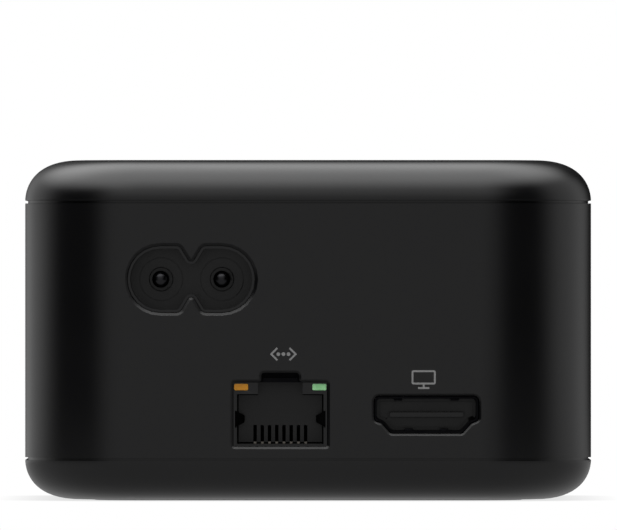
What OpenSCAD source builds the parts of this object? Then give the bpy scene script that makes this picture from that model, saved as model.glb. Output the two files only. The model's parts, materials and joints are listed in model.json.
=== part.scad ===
// Streaming media player: a mains-powered box with a network jack and a display socket on its back.
// Frame: +Z up, the underside's foot rests at z = 0, the port face looks towards -Y, x = 0 is the middle.

/* [Casing] */
// Width of the casing, left to right
case_w = 80; // [74:1:110]
// Depth of the casing, port face to front
case_d = 80; // [76:1:110]
// Height from the resting face to the top
case_h = 48; // [46:1:64]
// Corner radius seen from above
corner_r = 16; // [13:0.5:19]
// Thickness of the casing walls
wall = 2; // [1.6:0.1:2.3]
// Height of the top cover's side, down to its groove
top_cover_h = 5.7; // [5:0.1:7]
// Height of the bottom cover's side, up to its groove
bottom_cover_h = 5.65; // [5:0.05:6]
// Height of the shadow grooves between the casing parts
groove_h = 0.4; // [0.2:0.1:0.6]
// Depth of the shadow grooves
groove_depth = 0.4; // [0.2:0.1:0.8]
// How far the covers' swept edge reaches in over the flat
edge_run = 7.75; // [6:0.25:9]
// Gap between casing parts that slide into each other
lip_gap = 0.1; // [0.05:0.05:0.2]
// Thickness of the locating lips inside the sleeve
lip_t = 1.2; // [0.8:0.1:1.4]
// Length of the locating lips past the groove
lip_h = 2.2; // [1.6:0.1:3]

/* [Foot and screws] */
// Outer width of the silicone foot ring
foot_w = 61; // [56:0.5:62]
// Width of the foot ring's band
foot_band = 5; // [4.6:0.1:6]
// Outer corner radius of the foot ring
foot_corner_r = 7.6; // [6:0.1:8]
// How far the foot stands out below the bottom cover
foot_proud = 0.1; // [0.1:0.05:0.4]
// Depth of the groove that holds the foot
foot_groove = 1.1; // [0.8:0.1:1.2]
// Shank radius of the case screws
screw_r = 1.25; // [1:0.05:1.4]
// Length of the case screws under the head
screw_l = 10; // [9:0.5:12]

/* [Mains inlet] */
// Middle of the inlet, from the middle of the casing
inlet_x = -16.45; // [-18:0.05:-15]
// Height of the inlet's middle
inlet_z = 31.2; // [30:0.2:33]
// Distance between the two pins
pin_pitch = 8.6; // [8.6:0.1:8.6]
// Radius of a pin
pin_r = 1.2; // [1.1:0.05:1.25]
// Radius of the cavity round each pin
cavity_r = 4.3; // [4.2:0.05:4.5]
// Depth of the cavity
cavity_depth = 11.4; // [10:0.2:13]
// Distance of the V notches' points from the middle
notch_tip = 2.12; // [2.1:0.02:2.4]

/* [Network jack] */
// Middle of the network jack
jack_x = -3.92; // [-5:0.02:-3]
// Width of the jack's nose
jack_w = 13.16; // [13:0.02:13.6]
// Width of the opening for the plug
plug_w = 12.2; // [11.9:0.1:12.3]
// Height of the opening for the plug
plug_h = 7.04; // [6.8:0.02:7.2]
// Width of the channel for the plug's latch
latch_w = 6.28; // [6:0.02:6.6]
// Distance between two contacts
contact_pitch = 1.02; // [1.02:0.01:1.02]
// Depth of the jack body
jack_d = 21; // [18:0.5:23]

/* [Display socket] */
// Middle of the display socket
display_x = 16.65; // [16:0.05:18]
// Height of the display socket's middle
display_z = 12.15; // [11.9:0.05:12.4]
// Width inside the display socket's shell
display_w = 14; // [13.9:0.05:14.1]
// Height inside the display socket's shell
display_h = 4.5; // [4.5:0.01:4.6]
// Depth of the display socket's shell
display_d = 11.5; // [11:0.1:13]

/* [Boards] */
// Height of the main board's top face
board_z = 7; // [7:0.1:7]
// Thickness of the main board
board_t = 1.2; // [1:0.1:1.2]
// Thickness of the power board
power_board_t = 1.6; // [1.2:0.1:1.6]
// Gap between a board's edge and the wall or lip beside it
board_gap = 0.3; // [0.2:0.1:0.6]

/* [Setup button] */
// Middle of the button, left to right
button_x = 16; // [12:0.5:18]
// Middle of the button, front to back
button_y = -14; // [-16:0.5:-10]
// Radius of the button
button_r = 1.8; // [1.4:0.1:2.2]
// How far the button travels
button_travel = 0.25; // [0.2:0.05:0.3]

/* [Hidden] */
$fn = 64;
// Play of a piece in its seat, and the overlap that joins two shapes of one piece
fit = 0.02;
tiny = 0.01;

black_case = [0.10, 0.10, 0.105];
black_part = [0.06, 0.06, 0.06];
bare_steel = [0.70, 0.71, 0.73];
board_green = [0.05, 0.22, 0.13];
chip_black = [0.09, 0.09, 0.10];

// The faces and levels that everything lines up with
rear_y = -case_d / 2;
front_y = case_d / 2;
inner_rear_y = rear_y + wall;
inner_front_y = front_y - wall;
inner_x = case_w / 2 - wall;
sleeve_z0 = bottom_cover_h + groove_h;
sleeve_z1 = case_h - top_cover_h - groove_h;
floor_z = foot_proud + wall;

// ---------------------------------------------------------------- outlines

function unit(v) = v / norm(v);
function outward(a, b) = let (d = unit(b - a)) [d.y, -d.x];

// The arc that rounds corner q = [x, y, radius] between p and s, with the outline grown by grow
function corner_arc(p, q, s, grow, steps) =
    let (
        here = [q.x, q.y],
        n1 = outward([p.x, p.y], here),
        n2 = outward(here, [s.x, s.y]),
        cross_z = n1.x * n2.y - n1.y * n2.x,
        side = cross_z < 0 ? -1 : 1,
        swing = atan2(cross_z, n1 * n2),
        start = atan2(n1.y, n1.x),
        middle = here - side * q.z * (n1 + n2) / (1 + n1 * n2)
    )
    [for (i = [0 : steps])
        let (a = start + swing * i / steps)
        middle + (side * q.z + grow) * [cos(a), sin(a)]];

// A closed, counter-clockwise outline of [x, y, radius] corners, rounded and grown
function rounded(outline, grow = 0, steps = 6) =
    let (n = len(outline))
    [for (i = [0 : n - 1])
        each corner_arc(outline[(i + n - 1) % n], outline[i], outline[(i + 1) % n], grow, steps)];

// A rectangle of half width w between two heights
function box_outline(w, z0, z1, r) = [[-w, z0, r], [w, z0, r], [w, z1, r], [-w, z1, r]];

// Stands an outline up like the port face, its zero at x, and runs it from y0 to y1
module upright(x, y0, y1) {
    translate([x, y1, 0])
        rotate([90, 0, 0])
            linear_extrude(y1 - y0)
                children();
}

// A solid between two outlines with the same number of points
module loft(near, far, depth) {
    n = len(near);
    polyhedron(
        points = concat([for (p = near) [p.x, p.y, 0]], [for (p = far) [p.x, p.y, depth]]),
        faces = concat(
            [[for (i = [0 : n - 1]) i]],
            [[for (i = [n - 1 : -1 : 0]) n + i]],
            [for (i = [0 : n - 1]) [i, n + i, n + (i + 1) % n, (i + 1) % n]]
        )
    );
}

// A hole through the port face, grown round an outline, with a bevelled edge
module port_cut(x, outline, grow, bevel) {
    reach = bevel + fit;
    upright(x, rear_y - 1, inner_rear_y + 1)
        polygon(rounded(outline, grow));
    translate([x, rear_y + bevel, 0])
        rotate([90, 0, 0])
            loft(rounded(outline, grow), rounded(outline, grow + reach), reach);
}

// A rectangle with rounded corners, seen from above
module plan(w, d, r) {
    square([w - 2 * r, d], center = true);
    square([w, d - 2 * r], center = true);
    for (x = [-1, 1], y = [-1, 1])
        translate([x * (w / 2 - r), y * (d / 2 - r)])
            circle(r);
}

// The casing's plan, drawn in by inset all round, between two heights
module casing_layer(inset, z0, z1) {
    translate([0, 0, z0])
        linear_extrude(z1 - z0)
            plan(case_w - 2 * inset, case_d - 2 * inset, corner_r - inset);
}

module casing_ring(inset, thickness, z0, z1) {
    difference() {
        casing_layer(inset, z0, z1);
        casing_layer(inset + thickness, z0 - 1, z1 + 1);
    }
}

// A plain block that stands on z0, centred in plan
module block(x, y, z0, size) {
    translate([x - size.x / 2, y - size.y / 2, z0])
        cube(size);
}

module rod(x, y, z0, z1, r) {
    translate([x, y, z0])
        cylinder(h = z1 - z0, r = r);
}

// A rod that runs front to back
module rod_y(x, y0, y1, z, r) {
    translate([x, y1, z])
        rotate([90, 0, 0])
            cylinder(h = y1 - y0, r = r);
}

// ---------------------------------------------------------------- the covers' swept edge

edge_side_pull = 1.4;
edge_top_pull = 0.9 * edge_run;

function bezier(a, b, c, d, t) =
    pow(1 - t, 3) * a + 3 * pow(1 - t, 2) * t * b + 3 * (1 - t) * t * t * c + pow(t, 3) * d;

// The edge from the cover's side, rise below its flat, to the start of the flat, drawn in by inset
function edge_curve(rise, inset, steps) =
    let (
        a = [0, -rise],
        b = [0, edge_side_pull - rise],
        c = [edge_run - edge_top_pull, 0],
        d = [edge_run, 0]
    )
    [for (i = [0 : steps])
        let (
            t = i / steps,
            along = (1 - t) * (1 - t) * (b - a) + 2 * (1 - t) * t * (c - b) + t * t * (d - c)
        )
        bezier(a, b, c, d, t) + inset * [unit(along).y, -unit(along).x]];

// Half section of a cover: x counts out from the corner's middle, y up to the flat at 0
module cover_section(rise) {
    outer = edge_curve(rise, 0, 18);
    inner = edge_curve(rise, wall, 10);
    polygon(concat(
        [for (p = outer) [corner_r - p.x, p.y]],
        [[0, 0], [0, -wall]],
        [for (i = [len(inner) - 1 : -1 : 0]) [corner_r - inner[i].x, inner[i].y]]
    ));
}

straight_x = case_w / 2 - corner_r;
straight_y = case_d / 2 - corner_r;

// A hollow cover whose flat lies at z = 0 and whose sides hang down by rise
module swept_cover(rise) {
    for (turn = [0 : 3]) {
        corner = [[1, 1], [-1, 1], [-1, -1], [1, -1]][turn];
        translate([corner.x * straight_x, corner.y * straight_y, 0])
            rotate([0, 0, 90 * turn])
                rotate_extrude(angle = 90)
                    cover_section(rise);
    }
    for (half_turn = [0, 180]) {
        rotate([0, 0, half_turn])
            translate([straight_x, straight_y, 0])
                rotate([90, 0, 0])
                    linear_extrude(2 * straight_y)
                        cover_section(rise);
        rotate([0, 0, half_turn])
            translate([-straight_x, straight_y, 0])
                rotate([90, 0, 90])
                    linear_extrude(2 * straight_x)
                        cover_section(rise);
    }
    block(0, 0, -wall, [2 * straight_x, 2 * straight_y, wall]);
}

// ---------------------------------------------------------------- screws, posts and columns

foot_mid_r = foot_corner_r - foot_band / 2;
screw_xy = foot_w / 2 - foot_corner_r + foot_mid_r / sqrt(2);
head_r = 2.2;
head_h = 1.5;
head_z0 = foot_proud + foot_groove;
head_z1 = head_z0 + head_h;
hex_r = 0.9;
hex_depth = 0.9;
screw_play = 0.2;
insert_r = 1.9;
insert_l = 4.5;
insert_groove_z = 2;
insert_groove_h = 0.6;
insert_groove_depth = 0.3;
post_r = insert_r + 0.8;
post_z1 = head_z1 + screw_l + 3;
boss_r = 3.4;
web_t = 1.6;
board_z0 = board_z - board_t;
lip_z = sleeve_z0 + lip_h;
above_lip = lip_z + 0.35;

module at_case_screws() {
    for (x = [-1, 1], y = [-1, 1])
        translate([x * screw_xy, y * screw_xy, 0])
            children();
}

module case_screws() {
    color(bare_steel)
        at_case_screws() {
            difference() {
                rod(0, 0, head_z0, head_z1, head_r);
                translate([0, 0, head_z0 - tiny])
                    linear_extrude(hex_depth + tiny)
                        circle(r = hex_r, $fn = 6);
            }
            rod(0, 0, head_z1 - tiny, head_z1 + screw_l, screw_r);
        }
}

module threaded_inserts() {
    color([0.78, 0.62, 0.30])
        at_case_screws()
            difference() {
                rod(0, 0, board_z, board_z + insert_l, insert_r);
                rod(0, 0, board_z - 1, board_z + insert_l + 1, screw_r + fit);
                translate([0, 0, board_z + insert_groove_z])
                    difference() {
                        cylinder(h = insert_groove_h, r = insert_r + 1);
                        translate([0, 0, -1])
                            cylinder(h = insert_groove_h + 2, r = insert_r - insert_groove_depth);
                    }
            }
}

// Posts in the sleeve's corners, which take the case screws, each with a web to its corner
module sleeve_posts() {
    for (x = [0, 1], y = [0, 1])
        mirror([x, 0, 0])
            mirror([0, y, 0]) {
                rod(screw_xy, screw_xy, board_z, post_z1, post_r);
                intersection() {
                    translate([screw_xy, screw_xy, above_lip])
                        rotate([0, 0, 45])
                            translate([0, -web_t / 2, 0])
                                cube([corner_r, web_t, post_z1 - above_lip]);
                    casing_layer(wall / 2, above_lip - 1, post_z1 + 1);
                }
            }
}

module sleeve_post_holes() {
    at_case_screws() {
        rod(0, 0, board_z - 1, board_z + insert_l + fit, insert_r + fit);
        rod(0, 0, board_z, head_z1 + screw_l + 0.5, screw_r + screw_play);
    }
}

// Columns on the side walls carry the insulating sheet on a shoulder and the power board on top
power_board_z0 = inlet_z - cavity_r - 0.4 - power_board_t;
power_board_z = power_board_z0 + power_board_t;
sheet_t = 0.4;
sheet_z0 = power_board_z0 - 2;
column_r = 3.2;
column_neck_r = 2.2;
column_x = inner_x - 2.8;
column_y = 16;
board_screw_r = 0.93;
board_screw_l = 7;

module at_columns() {
    for (x = [-1, 1], y = [-1, 1])
        translate([x * column_x, y * column_y, 0])
            children();
}

module sleeve_columns() {
    intersection() {
        at_columns()
            rod(0, 0, above_lip, sheet_z0, column_r);
        casing_layer(wall / 2, above_lip - 1, sheet_z0 + 1);
    }
    at_columns()
        rod(0, 0, sheet_z0 - 1, power_board_z0, column_neck_r);
}

// ---------------------------------------------------------------- port outlines, as seen from behind

bare_rim = 0.34;
port_gap = 0.1;
inlet_bevel = 0.38;
jack_bevel = 0.32;
display_bevel = 0.32;

// The inlet's cavity: two round ends and a V notch above and below
notch_angle = 31;
notch_r = 0.93;
notch_vertex = notch_tip - notch_r * (1 / sin(notch_angle) - 1);
notch_mouth = (cavity_r - notch_vertex) * tan(notch_angle);
inlet_half = pin_pitch / 2 + cavity_r;
end_r = cavity_r - tiny;
inlet_outline = [
    [-inlet_half, inlet_z - cavity_r, end_r],
    [-notch_mouth, inlet_z - cavity_r, 0.5],
    [0, inlet_z - notch_vertex, notch_r],
    [notch_mouth, inlet_z - cavity_r, 0.5],
    [inlet_half, inlet_z - cavity_r, end_r],
    [inlet_half, inlet_z + cavity_r, end_r],
    [notch_mouth, inlet_z + cavity_r, 0.5],
    [0, inlet_z + notch_vertex, notch_r],
    [-notch_mouth, inlet_z + cavity_r, 0.5],
    [-inlet_half, inlet_z + cavity_r, end_r]
];

// The jack's nose, with room above it for the shield's tab
jack_floor_z = board_z + 1;
jack_ear_z = jack_floor_z + plug_h;
nose_z0 = jack_floor_z - 0.26;
nose_z1 = jack_ear_z + 1.64;
shield_t = 0.25;
tab_w = 5.1;
tab_t = 0.6;
tab_z1 = nose_z1 + fit + tab_t;
ground_lip_y = 1.5;
ground_lip_h = 1.5;
tab_room = 0.65;
jack_cut_outline = [
    [-jack_w / 2, nose_z0, 0.2],
    [jack_w / 2, nose_z0, 0.2],
    [jack_w / 2, nose_z1, 0.2],
    [tab_w / 2, nose_z1, 0.5],
    [tab_w / 2, tab_z1 + tab_room, 0.3],
    [-tab_w / 2, tab_z1 + tab_room, 0.3],
    [-tab_w / 2, nose_z1, 0.5],
    [-jack_w / 2, nose_z1, 0.2]
];

// The display socket's D shape: straight sides, a short slope, a steep slope and a narrower floor
display_shell_t = 0.3;
display_half_w = display_w / 2;
display_z0 = display_z - display_h / 2;
display_z1 = display_z + display_h / 2;
knee_r = 0.82;
display_outline = [
    [-display_half_w + 2.15, display_z0, 0.25],
    [display_half_w - 2.15, display_z0, 0.25],
    [display_half_w - 0.92, display_z0 + 1.36, knee_r],
    [display_half_w, display_z0 + 1.7, 0.3],
    [display_half_w, display_z1, 0.4],
    [-display_half_w, display_z1, 0.4],
    [-display_half_w, display_z0 + 1.7, 0.3],
    [-display_half_w + 0.92, display_z0 + 1.36, knee_r]
];

// The front window: an oblong with round ends
window_w = 12;
window_h = 3;
window_z = board_z + 4.6;
window_end_r = window_h / 2 - tiny;
window_outline = box_outline(window_w / 2, window_z - window_h / 2, window_z + window_h / 2, window_end_r);

// ---------------------------------------------------------------- casing

// Beads on the top cover's lip click into grooves in the sleeve
bead_l = 10;
bead_r = 0.35;
bead_z = sleeve_z1 - 1.3;

module beads(grow) {
    for (turn = [0 : 3])
        rotate([0, 0, 90 * turn])
            translate([(turn % 2 == 0 ? case_w : case_d) / 2 - wall - lip_gap, 0, bead_z])
                rotate([90, 0, 0])
                    cylinder(h = bead_l + 2 * grow, r = bead_r + grow, center = true);
}

lip_in = wall + lip_gap;
neck_t = lip_in + lip_t - groove_depth;

module top_cover() {
    color(black_case) {
        translate([0, 0, case_h])
            swept_cover(top_cover_h);
        casing_ring(groove_depth, neck_t, sleeve_z1, sleeve_z1 + groove_h + 0.5);
        casing_ring(lip_in, lip_t, sleeve_z1 - lip_h, sleeve_z1 + 0.1);
        beads(0);
    }
}

pocket_depth = 0.1;

module sleeve() {
    color(black_case)
        difference() {
            union() {
                casing_ring(0, wall, sleeve_z0, sleeve_z1);
                sleeve_posts();
                sleeve_columns();
            }
            sleeve_post_holes();
            // Room for the display socket in the post beside it
            upright(display_x, rear_y, display_back_y + 0.15)
                polygon(rounded(display_outline, display_shell_t + 0.15));
            at_columns()
                rod(0, 0, power_board_z0 - board_screw_l, power_board_z0 + 1, board_screw_r + fit);
            port_cut(inlet_x, inlet_outline, bare_rim + port_gap, inlet_bevel);
            port_cut(jack_x, jack_cut_outline, port_gap, jack_bevel);
            port_cut(display_x, display_outline, display_shell_t + port_gap, display_bevel);
            upright(0, inner_front_y - 1, front_y + 1)
                polygon(rounded(window_outline, port_gap / 2));
            upright(0, rear_y - 1, rear_y + pocket_depth)
                network_pictogram_shape();
            upright(0, rear_y - 1, rear_y + pocket_depth)
                display_pictogram_shape();
            beads(0.05);
        }
}

// Button pocket in the bottom cover
button_gap = 0.15;
flange_r = button_r + 0.8;
flange_t = 0.6;
guide_t = 0.9;

module foot_shape(grow) {
    hole_w = foot_w - 2 * foot_band - 2 * grow;
    difference() {
        plan(foot_w + 2 * grow, foot_w + 2 * grow, foot_corner_r + grow);
        plan(hole_w, hole_w, foot_corner_r - foot_band - grow);
    }
}

module bottom_cover() {
    color(black_case)
        difference() {
            union() {
                translate([0, 0, foot_proud])
                    mirror([0, 0, 1])
                        swept_cover(bottom_cover_h - foot_proud);
                casing_ring(groove_depth, neck_t, bottom_cover_h - 0.5, sleeve_z0);
                casing_ring(lip_in, lip_t, sleeve_z0 - 0.1, lip_z);
                at_case_screws()
                    rod(0, 0, head_z0 + 0.5, board_z0, boss_r);
                rod(button_x, button_y, floor_z - 0.5, floor_z + 1.2, flange_r + guide_t);
            }
            translate([0, 0, -1])
                linear_extrude(head_z0 + 1)
                    foot_shape(0);
            at_case_screws() {
                rod(0, 0, -1, head_z1, head_r + 0.15);
                rod(0, 0, head_z1 - 1, board_z0 + 1, screw_r + screw_play);
            }
            rod(button_x, button_y, -1, floor_z + 1, button_r + button_gap);
            rod(button_x, button_y, floor_z, floor_z + 2, flange_r + button_gap);
            // Room in the rear lip for the network jack
            translate([jack_x - jack_w / 2 - 0.7, rear_y + wall, sleeve_z0])
                cube([jack_w + 1.4, lip_gap + lip_t + 1, lip_h + 1]);
        }
}

module foot_ring() {
    color([0.16, 0.16, 0.17])
        linear_extrude(foot_proud + foot_groove)
            foot_shape(-lip_gap);
}

// ---------------------------------------------------------------- pictograms and front window

ink_grey = [0.52, 0.52, 0.52];
stroke = 0.26;
network_mark = [jack_x + 0.45, jack_ear_z + 5.63];
display_mark = [display_x - 0.4, display_z1 + 3.0];

// Two chevrons that point outwards, with three dots between them
module network_pictogram_shape() {
    half_w = 1.9;
    arm = 0.95;
    thick = stroke / sqrt(2);
    translate(network_mark) {
        for (side = [0, 1])
            mirror([side, 0, 0])
                polygon([
                    [half_w, 0],
                    [half_w - arm, arm],
                    [half_w - arm - thick, arm - thick],
                    [half_w - 2 * thick, 0],
                    [half_w - arm - thick, thick - arm],
                    [half_w - arm, -arm]
                ]);
        for (i = [-1 : 1])
            translate([i * 0.715, 0])
                circle(r = 0.26, $fn = 32);
    }
}

// A flat screen on its stand
module display_pictogram_shape() {
    half_w = 1.7;
    half_h = 1.0;
    stand_z = -half_h - 0.62;
    translate(display_mark) {
        difference() {
            polygon(rounded(box_outline(half_w, -half_h, half_h, 0.3)));
            polygon(rounded(box_outline(half_w - stroke, stroke - half_h, half_h - stroke, 0.05)));
        }
        translate([-stroke / 2, stand_z])
            square([stroke, -half_h - stand_z]);
        translate([-0.8, stand_z - tiny])
            square([1.6, stroke]);
    }
}

module network_pictogram() {
    color(ink_grey)
        upright(0, rear_y, rear_y + pocket_depth)
            network_pictogram_shape();
}

module display_pictogram() {
    color(ink_grey)
        upright(0, rear_y, rear_y + pocket_depth)
            display_pictogram_shape();
}

window_flange = 0.8;
window_flange_y0 = inner_front_y - 0.8;

module front_window() {
    color([0.12, 0.03, 0.04]) {
        upright(0, inner_front_y - tiny, front_y - 0.05)
            polygon(rounded(window_outline));
        upright(0, window_flange_y0, inner_front_y)
            polygon(rounded(window_outline, window_flange));
    }
}

// ---------------------------------------------------------------- mains inlet

inlet_front_y = rear_y + 0.35;
inlet_floor_y = inlet_front_y + cavity_depth;
inlet_back_y = inlet_floor_y + 4;
inlet_block_h = 2 * cavity_r + 1.8;
collar_r = pin_r + 0.4;
collar_h = 0.6;
pin_front_y = inlet_front_y + 1.4;
pin_waist_y = inlet_floor_y - collar_h - fit;
pin_waist_r = pin_r - 0.3;
nose_flat_r = 0.1;
nose_l = 1.1;
// Ring lines in the cavity's floor round each pin, as [outer radius, width, depth]
floor_rings = [[3.08, 0.1, 0.03], [collar_r + 0.12, 0.12, 0.4]];
pin_tail_r = 0.6;
pin_tail_y = inlet_back_y + 0.1 + 2 * pin_tail_r;
tail_drop_z = power_board_z0 - 0.8;

module at_pins() {
    for (x = [-1, 1])
        translate([inlet_x + x * pin_pitch / 2, 0, 0])
            children();
}

module mains_inlet_body() {
    color(black_part) {
        difference() {
            union() {
                upright(inlet_x, inlet_front_y, inner_rear_y + 1)
                    polygon(rounded(inlet_outline, bare_rim));
                intersection() {
                    translate([inlet_x - inlet_half - 1.4, rear_y, power_board_z])
                        cube([2 * inlet_half + 2.8, inlet_back_y - rear_y, inlet_block_h]);
                    casing_layer(wall + fit, power_board_z - 1, power_board_z + inlet_block_h + 1);
                }
            }
            upright(inlet_x, inlet_front_y - 1, inlet_floor_y)
                polygon(rounded(inlet_outline));
            at_pins() {
                rod_y(0, inlet_floor_y - 1, inlet_back_y + 1, inlet_z, pin_waist_r + fit);
                for (ring = floor_rings)
                    difference() {
                        rod_y(0, inlet_floor_y - 1, inlet_floor_y + ring[2], inlet_z, ring[0]);
                        rod_y(0, inlet_floor_y - 2, inlet_floor_y + 1, inlet_z, ring[0] - ring[1]);
                    }
            }
        }
        at_pins()
            difference() {
                rod_y(0, inlet_floor_y - collar_h, inlet_floor_y + tiny, inlet_z, collar_r);
                rod_y(0, inlet_floor_y - 2, inlet_floor_y + 1, inlet_z, pin_waist_r + fit);
            }
    }
}

// Each pin has a rounded nose, a waist that the moulding holds and a tail down into the power board
module mains_pins() {
    color(bare_steel)
        at_pins() {
            translate([0, pin_front_y, inlet_z])
                rotate([-90, 0, 0])
                    rotate_extrude()
                        polygon(concat(
                            [[0, 0]],
                            [for (a = [0 : 7.5 : 90])
                                [nose_flat_r + (pin_r - nose_flat_r) * sin(a), nose_l * (1 - cos(a))]],
                            [
                                [pin_r, pin_waist_y - pin_front_y],
                                [pin_waist_r, pin_waist_y - pin_front_y],
                                [pin_waist_r, pin_tail_y - pin_front_y],
                                [0, pin_tail_y - pin_front_y]
                            ]
                        ));
            rod(0, pin_tail_y - pin_tail_r, tail_drop_z, inlet_z, pin_tail_r);
        }
}

// ---------------------------------------------------------------- network jack

nose_y = rear_y + 0.45;
jack_back_y = nose_y + jack_d;
body_y = inner_rear_y + 0.1;
cavity_back_y = nose_y + 12.6;
cavity_fillet = 0.2;
light_x = 5.5;
light_w = 2;
light_h = 0.94;
light_r = 0.22;
light_z0 = jack_ear_z + 0.52;
light_back_y = jack_back_y - 2;
slot_w = 0.48;
slot_z1 = jack_floor_z + 2.6;
slot_z0 = jack_floor_z + 0.33;
slot_d = 6;
contact_w = 0.36;
contact_t = 0.27;
leaf_t = 0.25;
leaf_climb = 0.8;
contact_floor_l = 1.2;
latch_step_w = latch_w - 0.18;
latch_step_z = jack_floor_z + 4.68;
latch_step_depth = 0.15;

// The side spring fingers: wide at the root, narrow at the tip
finger_z = jack_floor_z + 3.5;
finger_root = [jack_w / 2 + 0.1, cavity_back_y - 6.6];
finger_tip = [plug_w / 2 - 1.05, cavity_back_y - 2.6];
finger_root_h = 2.7;
finger_tip_h = 0.93;
finger_t = 0.2;
notch_half_h = 1.13;
notch_depth = 0.27;

// The cavity's four corners, seen from behind and drawn in by inset
function cavity_corners(inset) = [
    [inset - plug_w / 2, jack_floor_z + inset],
    [plug_w / 2 - inset, jack_floor_z + inset],
    [plug_w / 2 - inset, jack_ear_z - inset],
    [inset - plug_w / 2, jack_ear_z - inset]
];

module at_contacts() {
    for (i = [0 : 7])
        translate([jack_x + (i - 3.5) * contact_pitch, 0, 0])
            children();
}

module at_lights(side) {
    translate([jack_x + side * light_x, 0, 0])
        children();
}

module light_bar(y0, y1, grow) {
    upright(0, y0, y1)
        polygon(rounded(box_outline(light_w / 2, light_z0, light_z0 + light_h, light_r), grow));
}

module network_jack_housing() {
    color(black_part)
        difference() {
            union() {
                translate([jack_x - jack_w / 2, nose_y, nose_z0])
                    cube([jack_w, body_y - nose_y + tiny, nose_z1 - nose_z0]);
                translate([jack_x - jack_w / 2, body_y, board_z])
                    cube([jack_w, jack_back_y - body_y, nose_z1 - board_z]);
            }
            // The cavity narrows a little where its walls meet the back wall
            translate([jack_x - plug_w / 2, nose_y - 1, jack_floor_z])
                cube([plug_w, cavity_back_y - cavity_fillet - nose_y + 1, plug_h]);
            translate([jack_x, cavity_back_y, 0])
                rotate([90, 0, 0])
                    loft(
                        cavity_corners(cavity_fillet + tiny),
                        cavity_corners(-tiny),
                        cavity_fillet + 2 * tiny
                    );
            translate([jack_x - latch_w / 2, nose_y - 1, jack_ear_z - 1])
                cube([latch_w, cavity_back_y - nose_y + 1, nose_z1 - jack_ear_z + 2]);
            // The latch channel carries on down the back wall as a shallow step
            translate([jack_x - latch_step_w / 2, cavity_back_y - 1, latch_step_z])
                cube([latch_step_w, 1 + latch_step_depth, nose_z1 + 1 - latch_step_z]);
            at_contacts() {
                translate([-slot_w / 2, cavity_back_y - 1, slot_z0])
                    cube([slot_w, jack_back_y - cavity_back_y + 2, slot_z1 - slot_z0]);
                translate([-contact_w / 2 - fit, cavity_back_y - contact_floor_l - 0.2, jack_floor_z - fit])
                    cube([contact_w + 2 * fit, slot_d + contact_floor_l + 0.2, contact_t + 0.2]);
            }
            for (side = [-1, 1]) {
                at_lights(side)
                    light_bar(nose_y - 1, light_back_y + fit, fit);
                // The finger's slot in the side wall, and the notch in front of it
                translate([jack_x + side * plug_w / 2, finger_root.y - 0.5, finger_z])
                    cube([3, 9, finger_root_h + 0.2], center = true);
                upright(jack_x, nose_y - 1, finger_root.y)
                    polygon([
                        [side * (plug_w / 2 - 0.2), finger_z - notch_half_h],
                        [side * (plug_w / 2 + notch_depth), finger_z - notch_half_h - 0.1],
                        [side * (plug_w / 2 + notch_depth), finger_z + notch_half_h + 0.1],
                        [side * (plug_w / 2 - 0.2), finger_z + notch_half_h]
                    ]);
            }
        }
}

// A folded can over the jack body: a hemmed tab in front with an upright lip behind it, and a spring
// finger through each side
module network_jack_shield() {
    half = jack_w / 2 + 0.03;
    top_z = nose_z1 + fit;
    reach = finger_tip - finger_root;
    color([0.20, 0.20, 0.21]) {
        for (side = [0, 1])
            translate([jack_x, 0, 0])
                mirror([side, 0, 0]) {
                    translate([half, body_y, board_z])
                        cube([shield_t, jack_back_y - body_y, top_z - board_z + tiny]);
                    translate([finger_root.x, finger_root.y, finger_z])
                        rotate([90, 0, atan2(reach.y, reach.x)])
                            linear_extrude(finger_t)
                                polygon([
                                    [0, -finger_root_h / 2],
                                    [norm(reach), -finger_tip_h / 2],
                                    [norm(reach), finger_tip_h / 2],
                                    [0, finger_root_h / 2]
                                ]);
                }
        translate([jack_x - half - shield_t, body_y, top_z])
            cube([2 * half + 2 * shield_t, jack_back_y - body_y, shield_t]);
        translate([jack_x - tab_w / 2 + port_gap, nose_y + 0.1, top_z])
            cube([tab_w - 2 * port_gap, body_y - nose_y, tab_t]);
        translate([jack_x - tab_w / 2 - 0.5, body_y + ground_lip_y, top_z])
            cube([tab_w + 1, shield_t, ground_lip_h]);
    }
}

// Each contact lies on the cavity's floor, then climbs back inside its slot
module network_contacts() {
    leaf_run = slot_d - 0.6;
    color([0.62, 0.60, 0.55])
        at_contacts() {
            translate([-contact_w / 2, cavity_back_y - contact_floor_l, jack_floor_z])
                cube([contact_w, contact_floor_l + slot_d - 0.2, contact_t]);
            translate([contact_w / 2, cavity_back_y + 0.3, jack_floor_z + contact_t - 0.1])
                rotate([90, 0, -90])
                    linear_extrude(contact_w)
                        polygon([
                            [0, 0],
                            [-leaf_t, 0],
                            [-leaf_run, leaf_climb],
                            [leaf_t - leaf_run, leaf_climb]
                        ]);
        }
}

module amber_light_guide() {
    color([0.66, 0.44, 0.10])
        at_lights(-1)
            light_bar(nose_y + 0.03, light_back_y, 0);
}

module green_light_guide() {
    color([0.48, 0.72, 0.49])
        at_lights(1)
            light_bar(nose_y + 0.03, light_back_y, 0);
}

// ---------------------------------------------------------------- display socket

display_front_y = rear_y + 0.4;
display_back_y = display_front_y + display_d;
core_y = display_front_y + 8.6;
core_step = 0.45;
core_lap = 0.05;
core_outline = [for (q = display_outline) [q.x, q.y, max(q.z, core_step + 0.15)]];
tongue_w = 10.3;
tongue_t = 0.62;
moat_side = 0.25;
moat_h = 0.14;
moat_depth = 1;
tongue_y = display_front_y + 1.2;
display_contact_w = 0.4;
display_contact_t = 0.1;
contact_y = tongue_y + 0.5;
display_contact_l = core_y + moat_depth / 2 - contact_y;
display_foot_w = 12;
display_foot_l = 2;
spring_y = display_front_y + 2.4;
spring_l = 4;
spring_t = 0.28;
spring_w = 1.2;
upper_spring_x = 4;
lower_spring_x = 2.48;

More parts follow.
